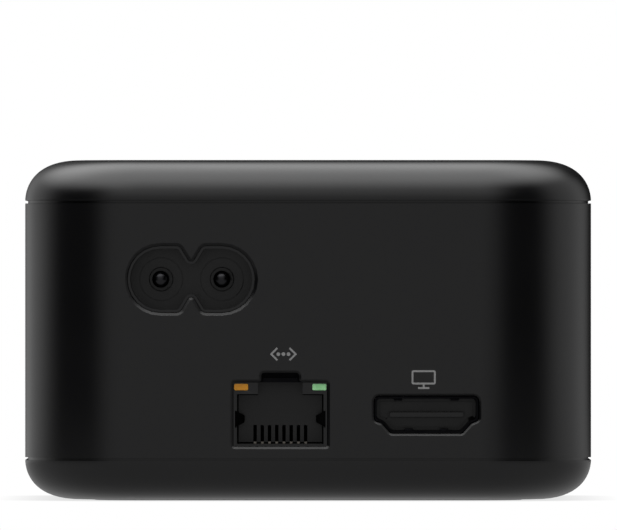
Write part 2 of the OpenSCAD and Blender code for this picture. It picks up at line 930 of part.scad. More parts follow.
module display_socket_shell() {
    color([0.20, 0.20, 0.21]) {
        difference() {
            upright(display_x, display_front_y, display_back_y)
                polygon(rounded(display_outline, display_shell_t));
            upright(display_x, display_front_y - 1, display_back_y + 1)
                polygon(rounded(display_outline));
        }
        for (side = [-1, 1]) {
            translate([display_x + side * upper_spring_x - spring_w / 2, spring_y, display_z1 - spring_t])
                cube([spring_w, spring_l, spring_t + 0.1]);
            translate([display_x + side * lower_spring_x - spring_w / 2, spring_y, display_z0 - 0.1])
                cube([spring_w, spring_l, spring_t + 0.1]);
        }
    }
}

// A rectangle round the tongue, as seen from the port side
module tongue_shape(side, above) {
    half_h = tongue_t / 2 + above;
    polygon(rounded(box_outline(tongue_w / 2 + side, display_z - half_h, display_z + half_h, 0.15)));
}

// The core behind the tongue: stepped all round, with a moat round the tongue's root
module display_core(back_y) {
    step_y = core_y + core_step;
    difference() {
        union() {
            upright(display_x, step_y, back_y)
                polygon(rounded(core_outline, -fit));
            upright(display_x, core_y, step_y + core_lap)
                polygon(rounded(core_outline, -fit - core_step));
        }
        upright(display_x, core_y - 1, core_y + moat_depth)
            tongue_shape(moat_side, moat_h);
    }
}

// The tongue, the core and the foot on the board
module display_socket_insulator() {
    base_y = rear_y + main_inset;
    foot_y = display_back_y + fit;
    core_bottom_z = display_z0 - display_shell_t - fit;
    color(black_part)
        difference() {
            union() {
                display_core(foot_y);
                upright(display_x, tongue_y, core_y + moat_depth + tiny)
                    tongue_shape(0, 0);
                translate([display_x - display_foot_w / 2, base_y, board_z])
                    cube([display_foot_w, foot_y + display_foot_l - base_y, core_bottom_z - board_z]);
                translate([display_x - display_foot_w / 2, foot_y - tiny, board_z])
                    cube([display_foot_w, display_foot_l + tiny, display_z1 - board_z]);
            }
            at_display_contacts()
                translate([-display_contact_w / 2, contact_y, -display_contact_t])
                    cube([display_contact_w, display_contact_l, display_contact_t + 0.1]);
        }
}

// Ten contacts along the top of the tongue and nine along its underside
module at_display_contacts() {
    for (i = [0 : 9])
        translate([display_x + i - 4.5, 0, display_z + tongue_t / 2])
            children();
    for (i = [0 : 8])
        translate([display_x + i - 4, 0, display_z - tongue_t / 2])
            mirror([0, 0, 1])
                children();
}

module display_contacts() {
    color([0.72, 0.60, 0.34])
        at_display_contacts()
            translate([-display_contact_w / 2, contact_y, -display_contact_t])
                cube([display_contact_w, display_contact_l, display_contact_t]);
}

// ---------------------------------------------------------------- main board and what stands on it

main_inset = wall + lip_gap + lip_t + board_gap;
terminal_t = 0.2;
riser_x = 28;
riser_y = -14;
riser_w = 5;
riser_pitch = 2.54;
riser_pin_r = 0.4;
riser_pin_proud = 0.8;
shield_x = 2;
shield_y = 8;
shield_w = 36;
shield_d = 30;
shield_h = 2.4;
frame_t = 0.3;
sheet_metal = 0.2;
lid_play = 0.05;
processor_x = shield_x + 3;
processor_h = 1.3;
processor_w = 15;
package_t = 0.6;
package_step = 1.5;
lid_z1 = board_z + shield_h + sheet_metal;
lid_pad_inset = 4;
lid_pad_h = 0.8;
sink_z0 = lid_z1 + lid_pad_h;
module_x = -25;
module_y = 14;
module_h = 2.2;
module_z1 = board_z + module_h;

module at_riser_pins() {
    for (i = [0 : 3])
        translate([riser_x, riser_y + (i - 1.5) * riser_pitch, 0])
            children();
}

module main_board() {
    color(board_green)
        difference() {
            casing_layer(main_inset, board_z0, board_z);
            at_case_screws()
                rod(0, 0, board_z0 - 1, board_z + 1, screw_r + 0.3);
            at_riser_pins()
                rod(0, 0, board_z0 - 1, board_z + 1, riser_pin_r + fit);
        }
}

// A flat package with a raised die cap
module processor() {
    cap_w = processor_w - 2 * package_step;
    cap_t = processor_h - package_t + tiny;
    color(chip_black) {
        block(processor_x, shield_y, board_z, [processor_w, processor_w, package_t]);
        block(processor_x, shield_y, board_z + package_t - tiny, [cap_w, cap_w, cap_t]);
    }
}

module memory_chips() {
    chip = [8, 12, 1];
    chips_x = shield_x - 11;
    pitch = 14;
    color(chip_black)
        for (side = [-1, 1])
            block(chips_x, shield_y + side * pitch / 2, board_z, chip);
}

module storage_chip() {
    chip = [11.5, 13, 1];
    color(chip_black)
        block(-24, -6, board_z, chip);
}

// Square moulded inductors with a terminal at each end
module power_inductors() {
    inductor = [5, 5, 2.9];
    terminal = [0.8, 3, 0.1 + tiny];
    inductors_x = 25;
    pitch = 7.5;
    for (i = [0 : 2])
        translate([inductors_x, i * pitch, board_z]) {
            color([0.25, 0.25, 0.26])
                block(0, 0, 0.1, inductor);
            color(bare_steel)
                for (side = [-1, 1])
                    block(side * (inductor.x - terminal.x) / 2, 0, 0, terminal);
        }
}

// A low moulded block with a row of terminals along each long side
module network_transformer() {
    body = [12.7, 6.9, 3];
    terminal = [0.4, 1.2, terminal_t];
    pitch = 1.27;
    translate([jack_x, jack_back_y + 6, board_z]) {
        color(chip_black)
            block(0, 0, 0.1, body);
        color(bare_steel)
            for (i = [-4 : 4], side = [-1, 1])
                block(i * pitch, side * (body.y / 2 + terminal.y / 4), 0, terminal);
    }
}

module shield_frame() {
    inside = [shield_w - 2 * frame_t, shield_d - 2 * frame_t, shield_h + 2];
    color(bare_steel)
        difference() {
            block(shield_x, shield_y, board_z, [shield_w, shield_d, shield_h]);
            block(shield_x, shield_y, board_z - 1, inside);
        }
}

module shield_lid() {
    inside = [shield_w + 2 * lid_play, shield_d + 2 * lid_play, shield_h + 1];
    outside = [inside.x + 2 * sheet_metal, inside.y + 2 * sheet_metal, shield_h - 1 + sheet_metal];
    color(bare_steel)
        difference() {
            block(shield_x, shield_y, board_z + 1, outside);
            block(shield_x, shield_y, board_z - 1, inside);
        }
}

module thermal_pad() {
    pad_w = processor_w - 2 * package_step;
    color([0.55, 0.62, 0.68])
        block(processor_x, shield_y, board_z + processor_h, [pad_w, pad_w, shield_h - processor_h]);
}

module lid_pad() {
    color([0.55, 0.62, 0.68])
        block(
            shield_x, shield_y, lid_z1,
            [shield_w - 2 * lid_pad_inset, shield_d - 2 * lid_pad_inset, lid_pad_h]
        );
}

module heat_sink() {
    sink_w = shield_w + 4;
    sink_d = shield_d + 4;
    base_t = 1.6;
    fins = 11;
    fin_t = 1;
    fin_h = 7.4;
    fin_pitch = (sink_w - fin_t) / (fins - 1);
    color([0.75, 0.76, 0.77])
        translate([shield_x, shield_y, sink_z0]) {
            block(0, 0, 0, [sink_w, sink_d, base_t]);
            for (i = [0 : fins - 1])
                block((i - (fins - 1) / 2) * fin_pitch, 0, base_t - tiny, [fin_t, sink_d, fin_h + tiny]);
        }
}

module wireless_module() {
    carrier = [12, 15, 0.8];
    can = [11, 12, module_h - carrier.z + tiny];
    color(board_green)
        block(module_x, module_y, board_z, carrier);
    color(bare_steel)
        block(module_x, module_y, board_z + carrier.z - tiny, can);
}

plug_offset = 3.5;
plug_r = 1.3;
plug_a = [module_x - plug_offset, module_y - plug_offset];
plug_b = [module_x + plug_offset, module_y + plug_offset];
coax_r = 0.55;
coax_z = module_z1 + 0.6;

module coax_plugs() {
    color([0.78, 0.62, 0.30])
        for (p = [plug_a, plug_b])
            rod(p.x, p.y, module_z1, module_z1 + 2 * (coax_z - module_z1), plug_r);
}

antenna_t = 0.3;
antenna_h = 8;
antenna_z0 = board_z + 3.5;

module antennas() {
    side_l = 22;
    front_l = 15;
    color([0.10, 0.10, 0.12]) {
        translate([-inner_x, -side_l / 2, antenna_z0])
            cube([antenna_t, side_l, antenna_h]);
        translate([1 - straight_x, inner_front_y - antenna_t, antenna_z0])
            cube([front_l, antenna_t, antenna_h]);
    }
}

// A thin round lead that follows a bezier curve, as one closed solid
module lead(a, b, c, d, r) {
    rings = 14;
    sides = 8;
    turns = [for (k = [0 : sides - 1]) 360 * k / sides];
    function slope(t) = unit(
        (1 - t) * (1 - t) * (b - a) + 2 * (1 - t) * t * (c - b) + t * t * (d - c)
    );
    function ring(t) = let (
            w = slope(t),
            u = unit(cross(w, [0.3, 0.4, 1])),
            v = cross(w, u),
            p = bezier(a, b, c, d, t)
        ) [for (k = turns) p + r * (cos(k) * u + sin(k) * v)];
    points = [for (i = [0 : rings]) each ring(i / rings)];
    polyhedron(
        points = points,
        faces = concat(
            [[for (k = [sides - 1 : -1 : 0]) k]],
            [[for (k = [0 : sides - 1]) rings * sides + k]],
            [for (i = [0 : rings - 1], k = [0 : sides - 1]) [
                i * sides + k,
                i * sides + (k + 1) % sides,
                (i + 1) * sides + (k + 1) % sides,
                (i + 1) * sides + k
            ]]
        )
    );
}

// Each lead runs from an antenna to a plug, in a soft double bend
module antenna_leads() {
    lead_z = antenna_z0 + 3;
    bend = [6, 6];
    start_a = [-inner_x + antenna_t, 2, lead_z];
    end_a = [plug_a.x, plug_a.y - plug_r, coax_z];
    start_b = [-18, inner_front_y - antenna_t, lead_z];
    end_b = [plug_b.x, plug_b.y + plug_r, coax_z];
    color([0.12, 0.12, 0.12]) {
        lead(start_a, start_a + [bend.x, 0, 0], end_a - [0, bend.y, 0], end_a, coax_r);
        lead(start_b, start_b - [0, bend.y, 0], end_b + [0, bend.y, 0], end_b, coax_r);
    }
}

// Infrared receiver, status light and its guide stand behind the front window
sensor_y = inner_front_y - 3.6;

module infrared_receiver() {
    body = [5, 2.8, 5.4];
    lens_r = 1.6;
    lens_l = 2;
    receiver_x = 3.2;
    color([0.10, 0.06, 0.08]) {
        block(receiver_x, sensor_y - 0.6, board_z, body);
        rod_y(receiver_x, sensor_y, sensor_y + lens_l, window_z - 1, lens_r);
    }
}

light_chip = [1.6, 0.9, 0.7];

module status_light() {
    color([0.92, 0.90, 0.80])
        block(-3, sensor_y - light_chip.y / 2, board_z, light_chip);
}

// A guide over the light that bends forwards to the window, on a leg beside the light
module status_light_guide() {
    guide_w = 2;
    arm_h = 1.8;
    guide_d = 1.6;
    leg_w = 1.3;
    guide_x = -3 - guide_w / 2;
    guide_y = sensor_y - 1.2;
    guide_z0 = board_z + light_chip.z + 0.1;
    guide_z1 = window_z + arm_h - 1;
    color([0.86, 0.90, 0.92]) {
        translate([guide_x, guide_y, guide_z0])
            cube([guide_w, guide_d, guide_z1 - guide_z0]);
        translate([guide_x, guide_y, guide_z1 - arm_h])
            cube([guide_w, window_flange_y0 - guide_y, arm_h]);
        translate([guide_x - leg_w + 0.1, guide_y, board_z])
            cube([leg_w, guide_d, guide_z1 - board_z]);
    }
}

// ---------------------------------------------------------------- setup button and its switch

switch_w = 5.2;
switch_h = 1.5;
plunger_r = 1;
plunger_h = 0.8;
plunger_proud = 0.45;
switch_z0 = board_z0 - switch_h;
plunger_z0 = switch_z0 - plunger_proud;

module setup_button() {
    head_face_z = foot_proud + 0.3;
    dish_r = 4;
    dish_depth = 0.2;
    flange_z0 = floor_z + 0.05;
    color([0.14, 0.14, 0.15])
        difference() {
            union() {
                rod(button_x, button_y, head_face_z, flange_z0 + tiny, button_r);
                rod(button_x, button_y, flange_z0, flange_z0 + flange_t, flange_r);
                rod(button_x, button_y, flange_z0 + flange_t - tiny, plunger_z0, plunger_r);
            }
            translate([button_x, button_y, head_face_z + dish_depth - dish_r])
                sphere(r = dish_r);
        }
}

module switch_base() {
    well_z1 = plunger_z0 + plunger_h + button_travel + 0.1;
    color([0.20, 0.20, 0.20])
        difference() {
            block(button_x, button_y, switch_z0, [switch_w, switch_w, switch_h]);
            rod(button_x, button_y, switch_z0 - 1, well_z1, plunger_r + 0.05);
        }
}

module switch_plunger() {
    color([0.85, 0.85, 0.83])
        rod(button_x, button_y, plunger_z0, plunger_z0 + plunger_h, plunger_r);
}

// ---------------------------------------------------------------- power board and what stands on it

power_inset = wall + board_gap;

module power_board() {
    color([0.62, 0.55, 0.30])
        difference() {
            casing_layer(power_inset, power_board_z0, power_board_z);
            at_columns()
                rod(0, 0, power_board_z0 - 1, power_board_z + 1, board_screw_r + 0.3);
            at_riser_pins()
                rod(0, 0, power_board_z0 - 1, power_board_z + 1, riser_pin_r + fit);
            at_pins()
                rod(0, pin_tail_y - pin_tail_r, power_board_z0 - 1, power_board_z + 1, pin_tail_r + fit);
        }
}

module board_screws() {
    screw_head_r = 2;
    screw_head_h = 1.3;
    recess = [2.4, 0.5, 0.7];
    color(bare_steel)
        at_columns() {
            difference() {
                rod(0, 0, power_board_z, power_board_z + screw_head_h, screw_head_r);
                for (size = [recess, [recess.y, recess.x, recess.z]])
                    block(0, 0, power_board_z + screw_head_h - recess.z, size + [0, 0, 1]);
            }
            rod(0, 0, power_board_z - board_screw_l + 1, power_board_z + tiny, board_screw_r);
        }
}

module insulating_sheet() {
    riser_window = [riser_w + 0.4, 4 * riser_pitch + 0.64, 3];
    color([0.80, 0.80, 0.76])
        difference() {
            casing_layer(power_inset + 0.1, sheet_z0, sheet_z0 + sheet_t);
            at_columns()
                rod(0, 0, sheet_z0 - 1, sheet_z0 + 1, column_neck_r + 0.1);
            block(riser_x, riser_y, sheet_z0 - 1, riser_window);
        }
}

module power_riser() {
    color(chip_black)
        difference() {
            block(riser_x, riser_y, board_z, [riser_w, 4 * riser_pitch + 0.24, power_board_z0 - board_z]);
            at_riser_pins()
                rod(0, 0, board_z - 1, power_board_z0 + 1, riser_pin_r + fit);
        }
}

module power_riser_pins() {
    color([0.78, 0.62, 0.30])
        at_riser_pins()
            rod(0, 0, board_z0 - riser_pin_proud, power_board_z + riser_pin_proud, riser_pin_r);
}

// A glass tube between two metal caps, each on a foot
module fuse() {
    fuse_x = -31;
    fuse_y0 = -8;
    glass_l = 8;
    glass_r = 1.8;
    cap_r = 2;
    cap_l = 2;
    foot = [0.8, 1, cap_r];
    fuse_z = power_board_z + cap_r;
    color([0.45, 0.40, 0.30])
        rod_y(fuse_x, fuse_y0, fuse_y0 + glass_l, fuse_z, glass_r);
    color(bare_steel)
        for (y = [fuse_y0 - 0.9, fuse_y0 + glass_l + 0.9]) {
            rod_y(fuse_x, y - cap_l / 2, y + cap_l / 2, fuse_z, cap_r);
            block(fuse_x, y, power_board_z, foot);
        }
}

// A core with two windows, and a winding through each of them
module line_filter_choke() {
    choke_core = [13, 11, 14];
    window = [2.2, 8];
    window_x = 3;
    coil_l = 9;
    translate([-20, inlet_back_y + 10, power_board_z]) {
        color([0.16, 0.16, 0.16])
            difference() {
                block(0, 0, 0, choke_core);
                for (side = [-1, 1])
                    block(side * window_x, 0, 3, [window.x, choke_core.y + 2, window.y]);
            }
        color([0.62, 0.34, 0.18])
            for (side = [-1, 1])
                block(side * window_x, 0, 3, [window.x - 2 * fit, coil_l, window.y - 2 * fit]);
    }
}

module suppression_capacitor() {
    box = [13, 6, 12];
    color([0.80, 0.68, 0.18])
        block(-21, 2.5, power_board_z, box);
}

module bridge_rectifier() {
    body = [8, 6.5, 2.6];
    terminal = [1.2, 1.6, 0.3];
    terminal_x = 2.5;
    translate([-25, 10.5, power_board_z]) {
        color(chip_black)
            block(0, 0, 0.1, body);
        color(bare_steel)
            for (x = [-terminal_x, terminal_x], side = [-1, 1])
                block(x, side * (body.y / 2 + 0.55), 0, terminal);
    }
}

// An upright can with a crimped waist and a rim at the top
module can_capacitor(x, y, r, h) {
    crimp = 0.4;
    crimp_z = 1.7;
    rim_w = 1.2;
    rim_h = 0.2;
    translate([x, y, power_board_z])
        rotate_extrude()
            polygon([
                [0, 0], [r, 0], [r, crimp_z - 0.5], [r - crimp, crimp_z], [r, crimp_z + 0.5],
                [r, h - crimp], [r - crimp, h], [r - rim_w, h], [r - rim_w, h - rim_h], [0, h - rim_h]
            ]);
}

module storage_capacitors() {
    can_r = 5;
    can_h = 16;
    color([0.12, 0.14, 0.22])
        for (x = [-24, -12])
            can_capacitor(x, 21.5, can_r, can_h);
}

transformer_x = 9;
transformer_y = -2;
core_size = [19, 17, 16];
core_d = 6;
core_yoke = 3;
leg_w = 6;
coil_w = 4.4;
coil_z0 = power_board_z + core_yoke + 1;
coil_h = core_size.z - 2 * core_yoke;

module transformer_core() {
    coil_x = (leg_w + coil_w) / 2;
    color([0.22, 0.22, 0.24])
        difference() {
            block(transformer_x, transformer_y, power_board_z + 1, [core_size.x, core_d, core_size.z]);
            for (side = [-1, 1])
                block(transformer_x + side * coil_x, transformer_y, coil_z0, [coil_w, core_d + 1, coil_h]);
        }
}

// The taped winding goes round the core's middle leg and stands on two pin rails
module transformer_winding() {
    winding_w = leg_w + 2 * coil_w - 0.1;
    leg_cut = [leg_w + 2 * fit, core_d + 2 * fit, core_size.z];
    side_cut = [4 + 2 * fit, leg_cut.y, leg_cut.z];
    rail = [16, 4, coil_z0 - power_board_z + fit];
    color([0.85, 0.74, 0.28])
        difference() {
            block(transformer_x, transformer_y, coil_z0 + fit, [winding_w, core_size.y, coil_h - 2 * fit]);
            block(transformer_x, transformer_y, power_board_z + 3, leg_cut);
            for (side = [-1, 1])
                block(transformer_x + side * 9.4, transformer_y, power_board_z + 3, side_cut);
        }
    color(chip_black)
        for (side = [-1, 1])
            block(transformer_x, transformer_y + side * 6, power_board_z, rail);
}

module power_controller() {
    body = [4, 5, 1.5];
    terminal = [1.2, 0.4, 0.25];
    pitch = 1.27;
    translate([-6, 14, power_board_z]) {
        color(chip_black)
            block(0, 0, 0.1, body);
        color(bare_steel)
            for (i = [-1.5 : 1.5], side = [-1, 1])
                block(side * (body.x / 2 + 0.5), i * pitch, 0, terminal);
    }
}

module output_capacitors() {
    can_r = 4;
    can_h = 12;
    color([0.12, 0.14, 0.22])
        for (y = [6, 17])
            can_capacitor(25, y, can_r, can_h);
}

top_cover();
sleeve();
bottom_cover();
foot_ring();
case_screws();
threaded_inserts();
network_pictogram();
display_pictogram();
front_window();
mains_inlet_body();
mains_pins();
network_jack_housing();
network_jack_shield();
network_contacts();
amber_light_guide();
green_light_guide();
display_socket_shell();
display_socket_insulator();
display_contacts();
main_board();
processor();
memory_chips();
storage_chip();
power_inductors();
network_transformer();
shield_frame();
shield_lid();
thermal_pad();
lid_pad();
heat_sink();
wireless_module();
coax_plugs();
antennas();
antenna_leads();
infrared_receiver();
status_light();
status_light_guide();
setup_button();
switch_base();
switch_plunger();
power_board();
board_screws();
insulating_sheet();
power_riser();
power_riser_pins();
fuse();
line_filter_choke();
suppression_capacitor();
bridge_rectifier();
storage_capacitors();
transformer_core();
transformer_winding();
power_controller();
output_capacitors();
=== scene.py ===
"""Streaming media player: smooth visible pieces, materials and a studio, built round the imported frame."""
import json
import math

import bpy
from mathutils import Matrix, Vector

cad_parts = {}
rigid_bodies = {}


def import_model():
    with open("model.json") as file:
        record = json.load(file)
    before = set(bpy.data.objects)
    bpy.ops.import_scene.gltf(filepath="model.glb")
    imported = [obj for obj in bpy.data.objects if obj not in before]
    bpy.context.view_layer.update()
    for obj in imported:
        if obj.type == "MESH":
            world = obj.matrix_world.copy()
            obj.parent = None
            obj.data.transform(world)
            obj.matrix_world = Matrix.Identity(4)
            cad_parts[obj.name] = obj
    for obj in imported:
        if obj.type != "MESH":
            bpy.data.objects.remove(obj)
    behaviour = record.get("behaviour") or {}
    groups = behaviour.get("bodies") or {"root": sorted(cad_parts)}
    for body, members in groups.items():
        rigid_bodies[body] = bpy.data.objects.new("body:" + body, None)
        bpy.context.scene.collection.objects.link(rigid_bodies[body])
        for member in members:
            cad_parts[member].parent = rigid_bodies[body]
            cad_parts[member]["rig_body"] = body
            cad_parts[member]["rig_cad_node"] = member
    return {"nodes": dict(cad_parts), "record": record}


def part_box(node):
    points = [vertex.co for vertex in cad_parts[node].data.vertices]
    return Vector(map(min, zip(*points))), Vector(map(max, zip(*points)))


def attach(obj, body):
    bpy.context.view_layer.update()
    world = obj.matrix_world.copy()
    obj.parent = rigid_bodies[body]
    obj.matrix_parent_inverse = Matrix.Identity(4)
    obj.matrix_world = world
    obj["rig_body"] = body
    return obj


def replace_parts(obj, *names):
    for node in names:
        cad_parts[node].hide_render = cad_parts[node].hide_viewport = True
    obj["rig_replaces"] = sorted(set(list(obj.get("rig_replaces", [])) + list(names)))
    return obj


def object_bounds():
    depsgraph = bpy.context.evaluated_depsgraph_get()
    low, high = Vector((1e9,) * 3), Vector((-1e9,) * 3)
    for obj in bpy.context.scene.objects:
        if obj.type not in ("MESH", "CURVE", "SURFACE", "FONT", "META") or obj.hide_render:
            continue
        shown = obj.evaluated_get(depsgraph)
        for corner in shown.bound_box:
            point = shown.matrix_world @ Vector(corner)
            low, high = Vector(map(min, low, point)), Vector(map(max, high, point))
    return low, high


bl_info = {
    "name": "Streaming media player",
    "version": (1, 0, 0),
    "blender": (4, 5, 0),
    "location": "3D View > Sidebar > Player",
    "description": "Builds the player's visible pieces, its materials and a plain studio",
    "category": "Object",
}

for leftover in list(bpy.data.objects):
    bpy.data.objects.remove(leftover)
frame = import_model()
CAD_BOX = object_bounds()
NODES = frame["nodes"]
MM = 0.001
WHITE = (1, 1, 1, 1)

# The floor lies just under the feet; it is evenly lit out to the near distance
FLOOR_RADIUS = 8
FLOOR_DROP = 0.02 * MM
FLOOR_LIT_NEAR = 90 * MM
FLOOR_LIT_FAR = 260 * MM
CONTACT_SHADOW_REACH = 6 * MM
# The overhead panel leans a little to the left and back
OVERHEAD_LEAN = Vector((-0.12, 0.06, 0.95)).normalized()
STUDIO_BASE_GLOW = 0.01

CASE_LOW, CASE_HIGH = CAD_BOX
TOP_LOW, TOP_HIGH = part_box("top_cover")
SLEEVE_LOW, SLEEVE_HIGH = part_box("sleeve")


# ------------------------------------------------------------------ sizes and colours a user would change


class CasingSizes(bpy.types.PropertyGroup):
    """Sizes of the casing's visible form"""

    corner_radius: bpy.props.FloatProperty(
        name="Corner radius", description="Radius of the casing's corners, seen from above",
        default=16 * MM, min=8 * MM, max=24 * MM, unit="LENGTH", subtype="DISTANCE")
    wall: bpy.props.FloatProperty(
        name="Wall", description="Thickness of the casing's walls",
        default=2 * MM, min=1 * MM, max=3 * MM, unit="LENGTH", subtype="DISTANCE")
    edge_run: bpy.props.FloatProperty(
        name="Edge run", description="How far the swept edge reaches in over the flat",
        default=7.75 * MM, min=2 * MM, max=10 * MM, unit="LENGTH", subtype="DISTANCE")
    groove: bpy.props.FloatProperty(
        name="Groove", description="Height and depth of the shadow grooves",
        default=0.4 * MM, min=0.1 * MM, max=1 * MM, unit="LENGTH", subtype="DISTANCE")
    lip: bpy.props.FloatProperty(
        name="Lip", description="Thickness of the locating lip inside the sleeve",
        default=1.2 * MM, min=0.5 * MM, max=2 * MM, unit="LENGTH", subtype="DISTANCE")
    edge_break: bpy.props.FloatProperty(
        name="Edge break", description="Radius left on moulded edges by the tool",
        default=0.06 * MM, min=0.01 * MM, max=0.3 * MM, unit="LENGTH", subtype="DISTANCE")


class FinishSettings(bpy.types.PropertyGroup):
    """Colours of the finishes, as sRGB hex values"""

    case_colour: bpy.props.StringProperty(
        name="Casing", description="Black of the moulded casing", default="09090A")
    ink_colour: bpy.props.StringProperty(
        name="Ink", description="Grey of the printed pictograms", default="989898")
    amber_colour: bpy.props.StringProperty(
        name="Amber light", description="Tint of the left light guide", default="E09800")
    green_colour: bpy.props.StringProperty(
        name="Green light", description="Tint of the right light guide", default="B0F6B2")


class StudioSettings(bpy.types.PropertyGroup):
    """Camera and studio light"""

    eye_height: bpy.props.FloatProperty(
        name="Eye height", description="Height of the level camera above the resting face",
        default=33.2 * MM, unit="LENGTH", subtype="DISTANCE")
    distance: bpy.props.FloatProperty(
        name="Camera distance", description="From the camera to the casing's nearest corners",
        default=2.9, min=1, max=5, unit="LENGTH", subtype="DISTANCE")
    field_width: bpy.props.FloatProperty(
        name="Field width", description="Width that the picture covers at that distance",
        default=87.24 * MM, min=50 * MM, max=300 * MM, unit="LENGTH", subtype="DISTANCE")
    aside: bpy.props.FloatProperty(
        name="Aside", description="How far the camera stands to the right of the player's middle",
        default=0.055 * MM, unit="LENGTH", subtype="DISTANCE")
    overhead: bpy.props.FloatProperty(
        name="Overhead light", description="Radiance of the soft panel over the player",
        default=2.9, min=0, max=20)
    front: bpy.props.FloatProperty(
        name="Front light", description="Radiance of the soft panel behind the camera",
        default=0.40, min=0, max=20)
    sides: bpy.props.FloatProperty(
        name="Side lights", description="Radiance of the soft strips on both sides",
        default=0.55, min=0, max=20)
    floor_light: bpy.props.FloatProperty(
        name="Floor light", description="Radiance that the pale floor throws back up",
        default=0.38, min=0, max=20)


# ------------------------------------------------------------------ modelling helpers


def alone(obj):
    """Selects one object and makes it active, with everything else deselected."""
    if bpy.context.object and bpy.context.object.mode != "OBJECT":
        bpy.ops.object.mode_set(mode="OBJECT")
    bpy.ops.object.select_all(action="DESELECT")
    obj.select_set(True)
    bpy.context.view_layer.objects.active = obj


def pick(obj, kind, test):
    """Leaves obj in edit mode with the vertices, edges or faces selected whose middle passes a test."""
    alone(obj)
    bpy.ops.object.mode_set(mode="EDIT")
    bpy.ops.mesh.select_mode(type=kind)
    bpy.ops.mesh.select_all(action="DESELECT")
    bpy.ops.object.mode_set(mode="OBJECT")
    mesh = obj.data
    if kind == "VERT":
        for vertex in mesh.vertices:
            vertex.select = test(vertex.co)
    elif kind == "EDGE":
        for edge in mesh.edges:
            a, b = (mesh.vertices[i].co for i in edge.vertices)
            edge.select = test((a + b) / 2)
    else:
        for face in mesh.polygons:
            face.select = test(face.center)
    bpy.ops.object.mode_set(mode="EDIT")


def apply_place(obj):
    """Puts the object's place, turn and scale into its mesh."""
    alone(obj)
    bpy.ops.object.transform_apply(location=True, rotation=True, scale=True)


def modify(obj, kind, **settings):
    """Adds a modifier with its settings and applies it."""
    alone(obj)
    made = obj.modifiers.new(kind.title(), kind)
    for key, value in settings.items():
        setattr(made, key, value)
    bpy.ops.object.modifier_apply(modifier=made.name)


def soften(obj, width, angle=40, segments=2):
    """Breaks the sharp edges, as moulding or tumbling does, and shades the rest smooth."""
    modify(obj, "BEVEL", width=width, segments=segments, limit_method="ANGLE",
           angle_limit=math.radians(angle), miter_outer="MITER_SHARP", use_clamp_overlap=True,
           loop_slide=False)
    shade(obj)


def shade(obj, angle=35):
    """Smooth shading, with flat faces kept flat by weighting the normals by area."""
    alone(obj)
    bpy.ops.object.shade_smooth_by_angle(angle=math.radians(angle))
    modify(obj, "WEIGHTED_NORMAL", mode="FACE_AREA", weight=80, keep_sharp=True)


def join(parts, name):
    """Joins parts into the first one."""
    alone(parts[0])
    for part in parts[1:]:
        part.select_set(True)
    bpy.ops.object.join()
    parts[0].name = name
    return parts[0]


def plate(name, width, depth, radius, z, up=True, segments=24):
    """A flat rounded rectangle in plan: a plane whose four corners are bevelled."""
    bpy.ops.object.select_all(action="DESELECT")
    bpy.ops.mesh.primitive_plane_add(size=1, location=(0, 0, z))
    obj = bpy.context.object
    obj.name = name
    obj.scale = (width, depth, 1)
    apply_place(obj)
    bpy.ops.object.mode_set(mode="EDIT")
    bpy.ops.mesh.select_all(action="SELECT")
    bpy.ops.mesh.bevel(offset=radius, offset_type="OFFSET", segments=segments, profile=0.5,
                       affect="VERTICES")
    if not up:
        bpy.ops.mesh.flip_normals()
    bpy.ops.object.mode_set(mode="OBJECT")
    return obj


def terrace(obj, steps):
    """Insets and raises the one selected face step by step, given as (in, out along its normal)."""
    for inward, outward in steps:
        bpy.ops.mesh.inset(thickness=inward, depth=outward, use_even_offset=True)


def finished_copy(node_name, name, width, angle=40, segments=2):
    """A copy of a CAD node with its loose triangles merged and its sharp edges broken."""
    source = NODES[node_name]
    alone(source)
    bpy.ops.object.duplicate(linked=False)
    obj = bpy.context.object
    obj.name = name
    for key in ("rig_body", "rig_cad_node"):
        if key in obj:
            del obj[key]
    obj.parent = None
    alone(obj)
    bpy.ops.object.mode_set(mode="EDIT")
    bpy.ops.mesh.select_all(action="SELECT")
    bpy.ops.mesh.customdata_custom_splitnormals_clear()
    bpy.ops.mesh.remove_doubles(threshold=1e-7)
    bpy.ops.mesh.dissolve_limited(angle_limit=math.radians(0.5))
    bpy.ops.object.mode_set(mode="OBJECT")
    if width:
        soften(obj, width, angle, segments)
    else:
        shade(obj)
    return obj


def finish(obj, body, nodes, material):
    """Gives a new piece its material and body and says which CAD nodes it stands for."""
    obj.data.materials.clear()
    obj.data.materials.append(material)
    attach(obj, body)
    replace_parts(obj, *nodes)


# ------------------------------------------------------------------ material helpers


def srgb(hex_value):
    """An sRGB hex colour as linear RGBA."""
    channels = [int(hex_value[i : i + 2], 16) / 255 for i in (0, 2, 4)]
    return [c / 12.92 if c <= 0.04045 else ((c + 0.055) / 1.055) ** 2.4 for c in channels] + [1.0]


def add(tree, kind, inputs=None, **settings):
    """Adds one node with its settings; an input is a value or another node's output socket."""
    made = tree.nodes.new(kind)
    for key, value in settings.items():
        setattr(made, key, value)
    for key, value in (inputs or {}).items():
        if isinstance(value, bpy.types.NodeSocket):
            tree.links.new(value, made.inputs[key])
        else:
            made.inputs[key].default_value = value
    return made


def new_material(name):
    """An empty material with its Principled shader wired to the output, and its Object coordinates."""
    material = bpy.data.materials.new(name)
    material.use_nodes = True
    tree = material.node_tree
    tree.nodes.clear()
    shader = add(tree, "ShaderNodeBsdfPrincipled")
    add(tree, "ShaderNodeOutputMaterial", {"Surface": shader.outputs["BSDF"]})
    place = add(tree, "ShaderNodeTexCoord").outputs["Object"]
    return material, tree, shader, place


